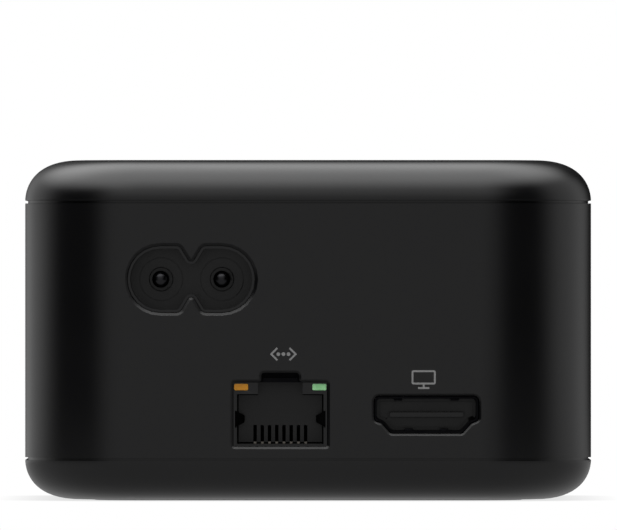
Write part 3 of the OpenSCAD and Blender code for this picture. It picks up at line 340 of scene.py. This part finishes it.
def noise(tree, place, size, detail=2.0, stretch=(1, 1, 1)):
    """A noise pattern whose features are about size metres across; stretch lengthens them along an axis."""
    scale = [1 / (size * s) for s in stretch]
    spread = add(tree, "ShaderNodeMapping", {"Vector": place, "Scale": scale})
    return add(tree, "ShaderNodeTexNoise",
               {"Vector": spread.outputs["Vector"], "Scale": 1.0, "Detail": detail}).outputs["Fac"]


def between(tree, factor, low, high, start=0.3, end=0.7):
    """A number that runs from low to high as factor runs from start to end."""
    return add(tree, "ShaderNodeMapRange", {
        "Value": factor, "From Min": start, "From Max": end, "To Min": low, "To Max": high,
    }).outputs["Result"]


def tint(tree, factor, first, second):
    """A colour between two hex colours."""
    mix = add(tree, "ShaderNodeMix", data_type="RGBA", clamp_factor=True)
    tree.links.new(factor, mix.inputs["Factor"])
    # A Mix node's colour sockets come after its number and vector ones
    mix.inputs[6].default_value = srgb(first)
    mix.inputs[7].default_value = srgb(second)
    return mix.outputs[2]


def bump(tree, height, depth, below=None):
    """A bump of a real depth in metres, on top of another if given."""
    made = add(tree, "ShaderNodeBump", {"Height": height, "Strength": 1.0, "Distance": depth})
    if below is not None:
        tree.links.new(below, made.inputs["Normal"])
    return made.outputs["Normal"]


def wire(tree, shader, **sockets):
    """Links or sets the shader's own sockets, with underscores for spaces."""
    for key, value in sockets.items():
        socket = shader.inputs[key.replace("_", " ")]
        if isinstance(value, bpy.types.NodeSocket):
            tree.links.new(value, socket)
        else:
            socket.default_value = value


def moulded(name, first, second, rough, grain=0.10 * MM, depth=0.0015 * MM, ior=1.5, wave=0.0):
    """Injection-moulded plastic: an even colour, a spark-eroded grain and a slow roughness drift."""
    material, tree, shader, place = new_material(name)
    drift = noise(tree, place, 9 * MM, 2)
    fine = noise(tree, place, grain, 2)
    wire(tree, shader,
         Base_Color=tint(tree, between(tree, fine, 0, 1, 0.35, 0.65), first, second),
         Roughness=between(tree, drift, rough[0], rough[1]),
         IOR=ior)
    normal = bump(tree, fine, depth)
    if wave:
        normal = bump(tree, noise(tree, place, 5 * MM, 1), wave, normal)
    wire(tree, shader, Normal=normal)
    return material


def rolled_metal(name, first, second, rough, along=(1, 12, 1), line=0.12 * MM, depth=0.0008 * MM):
    """Rolled or drawn metal: fine lines along one axis, with tarnish in broad patches."""
    material, tree, shader, place = new_material(name)
    lines = noise(tree, place, line, 2, along)
    patches = noise(tree, place, 3 * MM, 3)
    wire(tree, shader,
         Base_Color=tint(tree, between(tree, patches, 0, 1), first, second),
         Metallic=1.0,
         Roughness=between(tree, lines, rough[0], rough[1]),
         Normal=bump(tree, lines, depth))
    return material


MATERIALS = {}


def case_abs(name, colour):
    """Satin ABS from a spark-eroded tool: near black, with the faint grain and flow drift of a moulding."""
    material, tree, shader, place = new_material(name)
    # The tool's 0.12 mm erosion grain lies on a broader, softer unevenness
    fine = noise(tree, place, 0.12 * MM, 2)
    coarse = noise(tree, place, 0.35 * MM, 3)
    drift = noise(tree, place, 14 * MM, 2)
    lighter = "{:02X}{:02X}{:02X}".format(*(min(255, int(colour[i : i + 2], 16) + 4) for i in (0, 2, 4)))
    wire(tree, shader,
         Base_Color=tint(tree, between(tree, coarse, 0, 1, 0.35, 0.65), colour, lighter),
         Roughness=between(tree, drift, 0.22, 0.25),
         IOR=1.5)
    wire(tree, shader, Normal=bump(tree, fine, 0.0006 * MM, bump(tree, coarse, 0.0008 * MM)))
    return material


def make_materials(finish_settings):
    """Every finish on the player, under its slot's name."""
    made = MATERIALS
    made["case_plastic"] = case_abs("moulded_abs_satin_black", finish_settings.case_colour)
    made["connector_plastic"] = moulded(
        "moulded_glass_filled_nylon", "0B0B0C", "111112", (0.20, 0.25), 0.14 * MM, 0.0006 * MM)
    made["button_plastic"] = moulded(
        "moulded_abs_matt_button", "1A1A1B", "222223", (0.42, 0.50), 0.12 * MM, 0.0020 * MM)
    made["chip_plastic"] = moulded(
        "transfer_moulded_epoxy", "17171A", "222226", (0.55, 0.65), 0.08 * MM, 0.0030 * MM)
    made["ferrite"] = moulded(
        "sintered_ferrite", "2A2A2D", "3B3B3F", (0.62, 0.75), 0.15 * MM, 0.0060 * MM, 1.6)
    made["yellow_box"] = moulded(
        "moulded_polyester_film_box", "DDB41C", "E6C136", (0.30, 0.38), 0.30 * MM, 0.0020 * MM)
    made["smoked_window"] = smoked_acrylic("cast_acrylic_smoked_infrared")
    made["ink"] = pad_print("pad_printed_ink_grey", finish_settings.ink_colour)
    made["silicone"] = silicone("cast_silicone_rubber_matt")
    made["amber_guide"] = light_pipe("moulded_polycarbonate_amber", finish_settings.amber_colour, "D48E00")
    made["green_guide"] = light_pipe("moulded_polycarbonate_green", finish_settings.green_colour, "9CE4A0")
    made["clear_guide"] = clear_acrylic("moulded_acrylic_clear")
    made["plated_steel"] = rolled_metal("zinc_plated_steel", "B9BBC0", "A4A7AE", (0.26, 0.38))
    # Painted shade: the pins' base colour is far darker than nickel plating, standing in for the shade deep
    # inside the inlet's cavity
    made["pin_metal"] = rolled_metal(
        "nickel_plated_brass_turned", "38383A", "303032", (0.22, 0.30), (12, 1, 12), 0.06 * MM)
    made["brass"] = rolled_metal("turned_brass", "D6B468", "C39F52", (0.24, 0.36), (12, 12, 1), 0.08 * MM)
    # Near-black base colour: partly the real black plating and partly painted shade, darker than black nickel
    # reflects, standing in for the shade in the port openings
    made["black_nickel"] = rolled_metal(
        "stamped_steel_black_nickel", "161618", "111113", (0.30, 0.40), (1, 14, 1), 0.10 * MM)
    made["contact_metal"] = rolled_metal(
        "palladium_nickel_on_bronze", "8C8780", "7D7870", (0.24, 0.34), (1, 16, 1), 0.05 * MM)
    made["bare_aluminium"] = rolled_metal(
        "extruded_aluminium_bare", "D5D6D8", "C4C6C9", (0.32, 0.46), (1, 20, 1), 0.18 * MM, 0.002 * MM)
    made["circuit_board"] = solder_mask("glass_epoxy_green_solder_mask", "0E3B27", "1B5C3D")
    made["power_board_laminate"] = paper_laminate("phenolic_paper_laminate")
    made["thermal_pad"] = putty_pad("filled_silicone_thermal_pad")
    made["antenna_film"] = flexible_film("polyimide_antenna_film")
    made["lead_jacket"] = moulded("fep_coax_jacket", "161617", "202021", (0.30, 0.40), 0.20 * MM, 0.0010 * MM)
    made["light_package"] = moulded(
        "phosphor_filled_light_package", "F0E9B8", "F6F2DA", (0.35, 0.45), 0.05 * MM, 0.0020 * MM)
    made["insulating_film"] = insulating_paper("calendered_aramid_paper")
    made["capacitor_sleeve"] = shrink_sleeve("heat_shrunk_pvc_sleeve")
    made["winding_tape"] = winding_tape("polyester_winding_tape")


def silicone(name):
    """Cast silicone rubber: dark grey and matt, with dust-like specks and a fine pitted skin."""
    material, tree, shader, place = new_material(name)
    pits = noise(tree, place, 0.25 * MM, 3)
    broad = noise(tree, place, 6 * MM, 2)
    wire(tree, shader,
         Base_Color=tint(tree, between(tree, pits, 0, 1, 0.4, 0.75), "29292B", "343437"),
         Roughness=between(tree, broad, 0.62, 0.74),
         IOR=1.43,
         Normal=bump(tree, pits, 0.006 * MM))
    return material


def smoked_acrylic(name):
    """Cast acrylic dyed for infrared: a gloss, nearly black red-violet, with slight depth to its tint."""
    material, tree, shader, place = new_material(name)
    cloud = noise(tree, place, 4 * MM, 2)
    wire(tree, shader,
         Base_Color=tint(tree, between(tree, cloud, 0, 1), "170A0E", "220E13"),
         Roughness=between(tree, cloud, 0.05, 0.09),
         IOR=1.49,
         Coat_Weight=0.4,
         Coat_Roughness=0.04,
         Normal=bump(tree, noise(tree, place, 7 * MM, 1), 0.002 * MM))
    return material


def pad_print(name, colour):
    """Pad-printed ink: a thin grey film with the slight mottle and pinholes of a silicone pad."""
    material, tree, shader, place = new_material(name)
    mottle = noise(tree, place, 0.18 * MM, 3)
    wire(tree, shader,
         Base_Color=tint(tree, between(tree, mottle, 0, 1, 0.35, 0.6), "8A8A8A", colour),
         Roughness=between(tree, mottle, 0.5, 0.6),
         IOR=1.48,
         Normal=bump(tree, mottle, 0.002 * MM))
    return material


def light_pipe(name, colour, deep):
    """Tinted polycarbonate light guide: the colour deepens in faint moulding swirls under a satin face."""
    material, tree, shader, place = new_material(name)
    swirl = noise(tree, place, 0.8 * MM, 2)
    dots = noise(tree, place, 0.09 * MM, 1)
    wire(tree, shader,
         Base_Color=tint(tree, between(tree, swirl, 0, 1), deep, colour),
         Roughness=between(tree, dots, 0.30, 0.38),
         IOR=1.58,
         Subsurface_Weight=0.2,
         Subsurface_Radius=(0.8, 0.8, 0.8),
         Subsurface_Scale=0.4 * MM,
         Normal=bump(tree, dots, 0.002 * MM))
    return material


def clear_acrylic(name):
    """Clear moulded acrylic: bright and slightly blue, with polished faces."""
    material, tree, shader, place = new_material(name)
    swirl = noise(tree, place, 2 * MM, 2)
    wire(tree, shader,
         Base_Color=tint(tree, between(tree, swirl, 0, 1), "E6EEF0", "F4F8F9"),
         Roughness=between(tree, swirl, 0.06, 0.12),
         IOR=1.49,
         Transmission_Weight=0.8,
         Normal=bump(tree, swirl, 0.001 * MM))
    return material


def solder_mask(name, dark, light):
    """Glass-epoxy board under green mask: routed tracks and pours stand slightly proud and paler."""
    material, tree, shader, place = new_material(name)
    cells = add(tree, "ShaderNodeMapping", {"Vector": place, "Scale": [1 / (2.4 * MM)] * 3})
    tracks = add(tree, "ShaderNodeTexVoronoi", {"Vector": cells.outputs["Vector"], "Scale": 1.0},
                 feature="DISTANCE_TO_EDGE", distance="CHEBYCHEV")
    copper = between(tree, tracks.outputs["Distance"], 1, 0, 0.10, 0.14)
    weave = noise(tree, place, 0.4 * MM, 1)
    wire(tree, shader,
         Base_Color=tint(tree, copper, dark, light),
         Roughness=between(tree, weave, 0.28, 0.36),
         IOR=1.55,
         Normal=bump(tree, copper, 0.03 * MM, bump(tree, weave, 0.002 * MM)))
    return material


def paper_laminate(name):
    """Phenolic paper laminate: tan, with long paper fibres and a resin-rich satin skin."""
    material, tree, shader, place = new_material(name)
    fibres = noise(tree, place, 0.3 * MM, 3, (8, 1, 1))
    blotch = noise(tree, place, 7 * MM, 2)
    wire(tree, shader,
         Base_Color=tint(tree, between(tree, fibres, 0, 1), "A88C4E", "C2A868"),
         Roughness=between(tree, blotch, 0.40, 0.52),
         IOR=1.53,
         Normal=bump(tree, fibres, 0.004 * MM))
    return material


def putty_pad(name):
    """Silicone filled with ceramic powder: pale blue-grey, soft and matt, pressed with a liner's weave."""
    material, tree, shader, place = new_material(name)
    powder = noise(tree, place, 0.12 * MM, 3)
    liner = add(tree, "ShaderNodeMapping", {"Vector": place, "Scale": [2 * math.pi / (0.9 * MM)] * 3})
    weave = add(tree, "ShaderNodeTexWave", {"Vector": liner.outputs["Vector"], "Scale": 0.16},
                bands_direction="DIAGONAL")
    wire(tree, shader,
         Base_Color=tint(tree, between(tree, powder, 0, 1), "8E9AA6", "A3AEB8"),
         Roughness=between(tree, powder, 0.70, 0.82),
         IOR=1.45,
         Normal=bump(tree, weave.outputs["Fac"], 0.02 * MM))
    return material


def flexible_film(name):
    """Copper antenna under black polyimide: meandered conductor edges show as low steps."""
    material, tree, shader, place = new_material(name)
    spread = add(tree, "ShaderNodeMapping", {"Vector": place, "Scale": [1 / (2 * MM)] * 3})
    bricks = add(tree, "ShaderNodeTexBrick", {
        "Vector": spread.outputs["Vector"], "Scale": 1.0, "Mortar Size": 0.08,
        "Color1": srgb("1C1C1F"), "Color2": srgb("222226"), "Mortar": srgb("101012")})
    grain = noise(tree, place, 0.2 * MM, 2)
    wire(tree, shader,
         Base_Color=bricks.outputs["Color"],
         Roughness=between(tree, grain, 0.32, 0.42),
         IOR=1.6,
         Normal=bump(tree, bricks.outputs["Fac"], 0.02 * MM))
    return material


def insulating_paper(name):
    """Calendered aramid paper: off-white with crossing fibres."""
    material, tree, shader, place = new_material(name)
    fibres = noise(tree, place, 0.35 * MM, 4, (6, 1, 1))
    across = noise(tree, place, 0.35 * MM, 4, (1, 6, 1))
    wire(tree, shader,
         Base_Color=tint(tree, between(tree, fibres, 0, 1), "C9C6B6", "DAD7CA"),
         Roughness=between(tree, across, 0.45, 0.58),
         IOR=1.5,
         Normal=bump(tree, across, 0.004 * MM, bump(tree, fibres, 0.004 * MM)))
    return material


def shrink_sleeve(name):
    """Heat-shrunk PVC sleeve: dark blue, glossy, with shallow shrink ripples round the can."""
    material, tree, shader, place = new_material(name)
    ripple = noise(tree, place, 1.2 * MM, 2, (4, 4, 1))
    wire(tree, shader,
         Base_Color=tint(tree, between(tree, ripple, 0, 1), "1A2140", "222B52"),
         Roughness=between(tree, ripple, 0.20, 0.30),
         IOR=1.53,
         Normal=bump(tree, ripple, 0.02 * MM))
    return material


def winding_tape(name):
    """Polyester tape wound in layers: yellow, glossy, with a step at each turn's edge."""
    material, tree, shader, place = new_material(name)
    spread = add(tree, "ShaderNodeMapping", {"Vector": place, "Scale": [1 / (3 * MM)] * 3})
    turns = add(tree, "ShaderNodeTexWave", {"Vector": spread.outputs["Vector"], "Scale": 0.32},
                bands_direction="Z", wave_profile="SAW")
    creases = noise(tree, place, 1.5 * MM, 3)
    wire(tree, shader,
         Base_Color=tint(tree, turns.outputs["Fac"], "D9BE3E", "E8D05C"),
         Roughness=between(tree, creases, 0.22, 0.34),
         IOR=1.57,
         Normal=bump(tree, turns.outputs["Fac"], 0.03 * MM, bump(tree, creases, 0.02 * MM)))
    return material


# ------------------------------------------------------------------ pieces


def edge_steps(run, rise, count):
    """The covers' swept edge as small steps (in, up), from the upright side to the flat."""
    side_pull, top_pull = 1.4 * MM, 0.9 * run
    ends = [(0.0, 0.0), (0.0, side_pull), (run - top_pull, rise), (run, rise)]

    def point(t):
        weights = [(1 - t) ** 3, 3 * (1 - t) ** 2 * t, 3 * (1 - t) * t * t, t**3]
        return [sum(w * e[axis] for w, e in zip(weights, ends)) for axis in (0, 1)]

    points = [point(i / count) for i in range(count + 1)]
    return [(b[0] - a[0], b[1] - a[1]) for a, b in zip(points, points[1:])]


class PLAYER_OT_top_cover(bpy.types.Operator):
    """Build the top cover from a rounded plate, swept up step by step, with its lip and click beads"""

    bl_idname = "player.top_cover"
    bl_label = "Top cover"

    def execute(self, context):
        sizes = context.scene.player_casing
        width, depth = TOP_HIGH.x - TOP_LOW.x, TOP_HIGH.y - TOP_LOW.y
        radius, wall, groove = sizes.corner_radius, sizes.wall, sizes.groove
        seam = SLEEVE_HIGH.z + groove
        shell = plate("top_cover_shell", width, depth, radius, seam)
        pick(shell, "FACE", lambda middle: True)
        terrace(shell, edge_steps(sizes.edge_run, TOP_HIGH.z - seam, 26))
        bpy.ops.object.mode_set(mode="OBJECT")
        modify(shell, "SOLIDIFY", thickness=wall, offset=-1, use_even_offset=True)
        # The neck sets the groove's depth, and the lip under it reaches into the sleeve
        gap = 0.1 * MM
        inside_cover = groove + 0.3 * MM
        neck = plate("neck", width - 2 * groove, depth - 2 * groove, radius - groove,
                     SLEEVE_HIGH.z + inside_cover, up=False)
        pick(neck, "FACE", lambda middle: True)
        terrace(neck, [
            (0, inside_cover),
            (wall + gap - groove, 0),
            (0, SLEEVE_HIGH.z - TOP_LOW.z),
            (sizes.lip, 0),
            (0, TOP_LOW.z - SLEEVE_HIGH.z - inside_cover),
        ])
        bpy.ops.mesh.delete(type="FACE")
        bpy.ops.mesh.select_mode(type="EDGE")
        bpy.ops.mesh.select_non_manifold(extend=False)
        bpy.ops.mesh.bridge_edge_loops()
        bpy.ops.mesh.select_all(action="SELECT")
        bpy.ops.mesh.normals_make_consistent(inside=False)
        bpy.ops.object.mode_set(mode="OBJECT")
        beads = []
        bead_radius, bead_length, bead_drop = 0.35 * MM, 10 * MM, 1.3 * MM
        for turn in range(4):
            across = (width if turn % 2 == 0 else depth) / 2 - wall - gap
            angle = turn * math.pi / 2
            place = Vector((math.cos(angle) * across, math.sin(angle) * across, SLEEVE_HIGH.z - bead_drop))
            bpy.ops.object.select_all(action="DESELECT")
            bpy.ops.mesh.primitive_cylinder_add(
                vertices=24, radius=bead_radius, depth=bead_length, location=place,
                rotation=(math.pi / 2, 0, angle))
            bead = bpy.context.object
            apply_place(bead)
            modify(bead, "BEVEL", width=0.15 * MM, segments=3, limit_method="ANGLE")
            beads.append(bead)
        cover = join([shell, neck, *beads], "top_cover_moulding")
        soften(cover, sizes.edge_break, angle=50)
        finish(cover, "casing", ["top_cover"], MATERIALS["case_plastic"])
        return {"FINISHED"}


class PLAYER_OT_sleeve(bpy.types.Operator):
    """Finish the sleeve with its port openings, posts and columns"""

    bl_idname = "player.sleeve"
    bl_label = "Sleeve"

    def execute(self, context):
        sleeve = finished_copy("sleeve", "sleeve_moulding", 0)
        finish(sleeve, "casing", ["sleeve"], MATERIALS["case_plastic"])
        return {"FINISHED"}


class PLAYER_OT_bottom_cover(bpy.types.Operator):
    """Finish the bottom cover with its foot groove, screw recesses and button hole"""

    bl_idname = "player.bottom_cover"
    bl_label = "Bottom cover"

    def execute(self, context):
        cover = finished_copy("bottom_cover", "bottom_cover_moulding", 0)
        finish(cover, "casing", ["bottom_cover"], MATERIALS["case_plastic"])
        return {"FINISHED"}


class PLAYER_OT_foot(bpy.types.Operator):
    """Build the silicone foot ring with its rounded rubbing edge"""

    bl_idname = "player.foot"
    bl_label = "Foot ring"

    def execute(self, context):
        low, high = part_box("foot_ring")
        width, depth = high.x - low.x, high.y - low.y
        band, radius = 4.8 * MM, 7.5 * MM
        ring = plate("foot_ring_cast", width, depth, radius, high.z, up=True, segments=12)
        pick(ring, "FACE", lambda middle: True)
        terrace(ring, [(band, 0)])
        bpy.ops.mesh.delete(type="FACE")
        bpy.ops.mesh.select_all(action="SELECT")
        bpy.ops.mesh.extrude_region_move(TRANSFORM_OT_translate={"value": (0, 0, low.z - high.z)})
        bpy.ops.mesh.select_all(action="SELECT")
        bpy.ops.mesh.normals_make_consistent(inside=False)
        bpy.ops.object.mode_set(mode="OBJECT")
        soften(ring, 0.25 * MM, angle=50, segments=4)
        finish(ring, "casing", ["foot_ring"], MATERIALS["silicone"])
        return {"FINISHED"}


class PLAYER_OT_ports(bpy.types.Operator):
    """Finish the connectors in the port face, with their moulded and stamped edges broken"""

    bl_idname = "player.ports"
    bl_label = "Port connectors"

    def execute(self, context):
        for node_name, piece, width, slot_name in (
            ("mains_inlet_body", "mains_inlet_moulding", 0.05 * MM, "connector_plastic"),
            ("network_jack_housing", "network_jack_moulding", 0.04 * MM, "connector_plastic"),
            ("network_jack_shield", "network_jack_can", 0.03 * MM, "black_nickel"),
            ("display_socket_shell", "display_socket_can", 0.04 * MM, "black_nickel"),
            ("display_socket_insulator", "display_socket_moulding", 0.03 * MM, "connector_plastic"),
            ("front_window", "front_window_lens", 0.15 * MM, "smoked_window"),
            ("amber_light_guide", "amber_light_pipe", 0.06 * MM, "amber_guide"),
            ("green_light_guide", "green_light_pipe", 0.06 * MM, "green_guide"),
            ("mains_pins", "mains_pins_turned", 0.03 * MM, "pin_metal"),
        ):
            obj = finished_copy(node_name, piece, width)
            finish(obj, "casing", [node_name], MATERIALS[slot_name])
        return {"FINISHED"}


class PLAYER_OT_button(bpy.types.Operator):
    """Finish the dished setup button"""

    bl_idname = "player.button"
    bl_label = "Setup button"

    def execute(self, context):
        button = finished_copy("setup_button", "setup_button_cap", 0.06 * MM)
        finish(button, "setup_button", ["setup_button"], MATERIALS["button_plastic"])
        return {"FINISHED"}


class PLAYER_OT_inner_parts(bpy.types.Operator):
    """Give every CAD part that stays its own finish"""

    bl_idname = "player.inner_parts"
    bl_label = "Inner parts"

    def execute(self, context):
        stood_for = {n for o in bpy.data.objects for n in o.get("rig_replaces", [])}
        slot_of = {m["slot"]: m for m in frame["record"]["materials"]}
        for name, obj in NODES.items():
            if name in stood_for:
                continue
            for index, held in enumerate(obj.material_slots):
                slot_name = held.name.split(".")[0]
                if slot_name not in slot_of:
                    raise RuntimeError(f"{name} has no known finish: {slot_name}")
                obj.material_slots[index].material = MATERIALS[slot_name]
        return {"FINISHED"}


# ------------------------------------------------------------------ stage


def direction_panel(tree, azimuth, elevation, middle, half, feather, strength):
    """A soft panel of light; middle, half size and feather are (azimuth, elevation) in degrees."""
    shares = []
    for angle, centre, reach, soft in zip((azimuth, elevation), middle, half, feather):
        away = add(tree, "ShaderNodeMath", {0: angle, 1: math.radians(centre)}, operation="SUBTRACT")
        turned = add(tree, "ShaderNodeMath", {0: away.outputs[0], 1: math.pi, 2: -math.pi}, operation="WRAP")
        apart = add(tree, "ShaderNodeMath", {0: turned.outputs[0]}, operation="ABSOLUTE")
        shares.append(add(tree, "ShaderNodeMapRange", {
            "Value": apart.outputs[0], "From Min": math.radians(reach + soft),
            "From Max": math.radians(max(reach - soft, 0)), "To Min": 0.0, "To Max": 1.0,
        }, interpolation_type="SMOOTHSTEP").outputs["Result"])
    both = add(tree, "ShaderNodeMath", {0: shares[0], 1: shares[1]}, operation="MULTIPLY")
    return add(tree, "ShaderNodeMath", {0: both.outputs[0], 1: strength}, operation="MULTIPLY").outputs[0]


def panels(tree, direction, studio):
    """The radiance of the panels round the player, seen along a direction; azimuth 0 is the camera's side."""
    axes = add(tree, "ShaderNodeSeparateXYZ", {"Vector": direction})
    ahead = add(tree, "ShaderNodeMath", {0: axes.outputs["Y"], 1: -1.0}, operation="MULTIPLY")
    azimuth = add(tree, "ShaderNodeMath", {0: axes.outputs["X"], 1: ahead.outputs[0]},
                  operation="ARCTAN2").outputs[0]
    elevation = add(tree, "ShaderNodeMath", {0: axes.outputs["Z"]}, operation="ARCSINE").outputs[0]
    total = STUDIO_BASE_GLOW
    for middle, half, feather, strength in (
        ((-8, 0), (29, 38), (14, 22), studio.front),
        ((-4, 34), (34, 14), (20, 12), studio.front * 1.4),
        ((108, 5), (32, 60), (18, 25), studio.sides),
        ((-131, 5), (30, 60), (20, 25), studio.sides * 1.1),
    ):
        glow = direction_panel(tree, azimuth, elevation, middle, half, feather, strength)
        total = add(tree, "ShaderNodeMath", {0: glow, 1: total}, operation="ADD").outputs[0]
    return total


class PLAYER_OT_stage(bpy.types.Operator):
    """Set a plain pale floor, soft panels of light and a level camera"""

    bl_idname = "player.stage"
    bl_label = "Stage"

    def execute(self, context):
        scene = context.scene
        studio = scene.player_studio
        scene.view_settings.view_transform = "Standard"
        world = bpy.data.worlds.new("studio")
        scene.world = world
        world.use_nodes = True
        tree = world.node_tree
        tree.nodes.clear()
        place = add(tree, "ShaderNodeTexCoord").outputs["Generated"]
        lean = add(tree, "ShaderNodeVectorMath", {0: place, 1: OVERHEAD_LEAN}, operation="DOT_PRODUCT")
        over = add(tree, "ShaderNodeMapRange", {
            "Value": lean.outputs["Value"], "From Min": 0.45, "From Max": 0.95, "To Min": 0.0,
            "To Max": studio.overhead}, interpolation_type="SMOOTHSTEP")
        round_about = panels(tree, place, studio)
        total = add(tree, "ShaderNodeMath", {0: round_about, 1: over.outputs["Result"]},
                    operation="ADD").outputs[0]
        lit = add(tree, "ShaderNodeBackground", {"Color": WHITE, "Strength": total})
        plain = add(tree, "ShaderNodeBackground", {"Color": WHITE, "Strength": 1.0})
        seen = add(tree, "ShaderNodeLightPath")
        both = add(tree, "ShaderNodeMixShader",
                   {0: seen.outputs["Is Camera Ray"], 1: lit.outputs[0], 2: plain.outputs[0]})
        add(tree, "ShaderNodeOutputWorld", {"Surface": both.outputs[0]})

        # Pale floor: nearly white to the eye, with a faint contact shadow, and a soft grey to the player
        bpy.ops.object.select_all(action="DESELECT")
        bpy.ops.mesh.primitive_circle_add(
            vertices=96, radius=FLOOR_RADIUS, fill_type="NGON", location=(0, 0, -FLOOR_DROP))
        floor = context.object
        floor.name = "floor"
        material = bpy.data.materials.new("painted_floor_pale")
        material.use_nodes = True
        tree = material.node_tree
        tree.nodes.clear()
        near = add(tree, "ShaderNodeAmbientOcclusion", {"Distance": CONTACT_SHADOW_REACH}, samples=8)
        shadow = add(tree, "ShaderNodeMapRange", {
            "Value": near.outputs["AO"], "From Min": 0.0, "From Max": 1.0, "To Min": 0.75, "To Max": 1.0})
        bright = add(tree, "ShaderNodeEmission", {"Color": WHITE, "Strength": shadow.outputs["Result"]})
        # Close to the player the floor is evenly lit; farther out it shows each panel's glow
        place = add(tree, "ShaderNodeTexCoord").outputs["Object"]
        away = add(tree, "ShaderNodeVectorMath", {0: place}, operation="LENGTH").outputs["Value"]
        glow = add(tree, "ShaderNodeMapRange", {
            "Value": away, "From Min": FLOOR_LIT_NEAR, "From Max": FLOOR_LIT_FAR,
            "To Min": studio.floor_light, "To Max": panels(tree, place, studio)})
        soft = add(tree, "ShaderNodeEmission", {"Color": WHITE, "Strength": glow.outputs["Result"]})
        seen = add(tree, "ShaderNodeLightPath")
        both = add(tree, "ShaderNodeMixShader",
                   {0: seen.outputs["Is Camera Ray"], 1: soft.outputs[0], 2: bright.outputs[0]})
        # From below the floor is clear, so that the underside can be looked at
        side = add(tree, "ShaderNodeNewGeometry")
        clear = add(tree, "ShaderNodeBsdfTransparent", {"Color": WHITE})
        shown = add(tree, "ShaderNodeMixShader",
                    {0: side.outputs["Backfacing"], 1: both.outputs[0], 2: clear.outputs[0]})
        add(tree, "ShaderNodeOutputMaterial", {"Surface": shown.outputs[0]})
        floor.data.materials.append(material)

        camera_data = bpy.data.cameras.new("camera")
        camera = bpy.data.objects.new("camera", camera_data)
        scene.collection.objects.link(camera)
        camera_data.sensor_width = 36
        camera_data.lens = camera_data.sensor_width * studio.distance / studio.field_width
        camera_data.clip_end = 20
        nearest_corner = CASE_LOW.y + scene.player_casing.corner_radius
        camera.location = (studio.aside, nearest_corner - studio.distance, studio.eye_height)
        camera.rotation_euler = (math.pi / 2, 0, 0)
        scene.camera = camera
        return {"FINISHED"}


class PLAYER_PT_panel(bpy.types.Panel):
    """Lists the player's settings and building steps"""

    bl_idname = "PLAYER_PT_panel"
    bl_label = "Streaming media player"
    bl_space_type = "VIEW_3D"
    bl_region_type = "UI"
    bl_category = "Player"

    def draw(self, context):
        for group in ("player_casing", "player_finish", "player_studio"):
            box = self.layout.box()
            settings = getattr(context.scene, group)
            for key in settings.__annotations__:
                box.prop(settings, key)
        for operator in STEPS:
            self.layout.operator(operator.bl_idname)


GROUPS = {"player_casing": CasingSizes, "player_finish": FinishSettings, "player_studio": StudioSettings}
STEPS = (
    PLAYER_OT_top_cover, PLAYER_OT_sleeve, PLAYER_OT_bottom_cover, PLAYER_OT_foot, PLAYER_OT_ports,
    PLAYER_OT_button, PLAYER_OT_inner_parts, PLAYER_OT_stage,
)


def register():
    for kind in (*GROUPS.values(), *STEPS, PLAYER_PT_panel):
        bpy.utils.register_class(kind)
    for name, kind in GROUPS.items():
        setattr(bpy.types.Scene, name, bpy.props.PointerProperty(type=kind))


def unregister():
    for name in GROUPS:
        delattr(bpy.types.Scene, name)
    for kind in reversed((*GROUPS.values(), *STEPS, PLAYER_PT_panel)):
        bpy.utils.unregister_class(kind)


def main():
    register()
    make_materials(bpy.context.scene.player_finish)
    for step in STEPS:
        group, name = step.bl_idname.split(".")
        getattr(getattr(bpy.ops, group), name)()


if __name__ == "__main__":
    main()
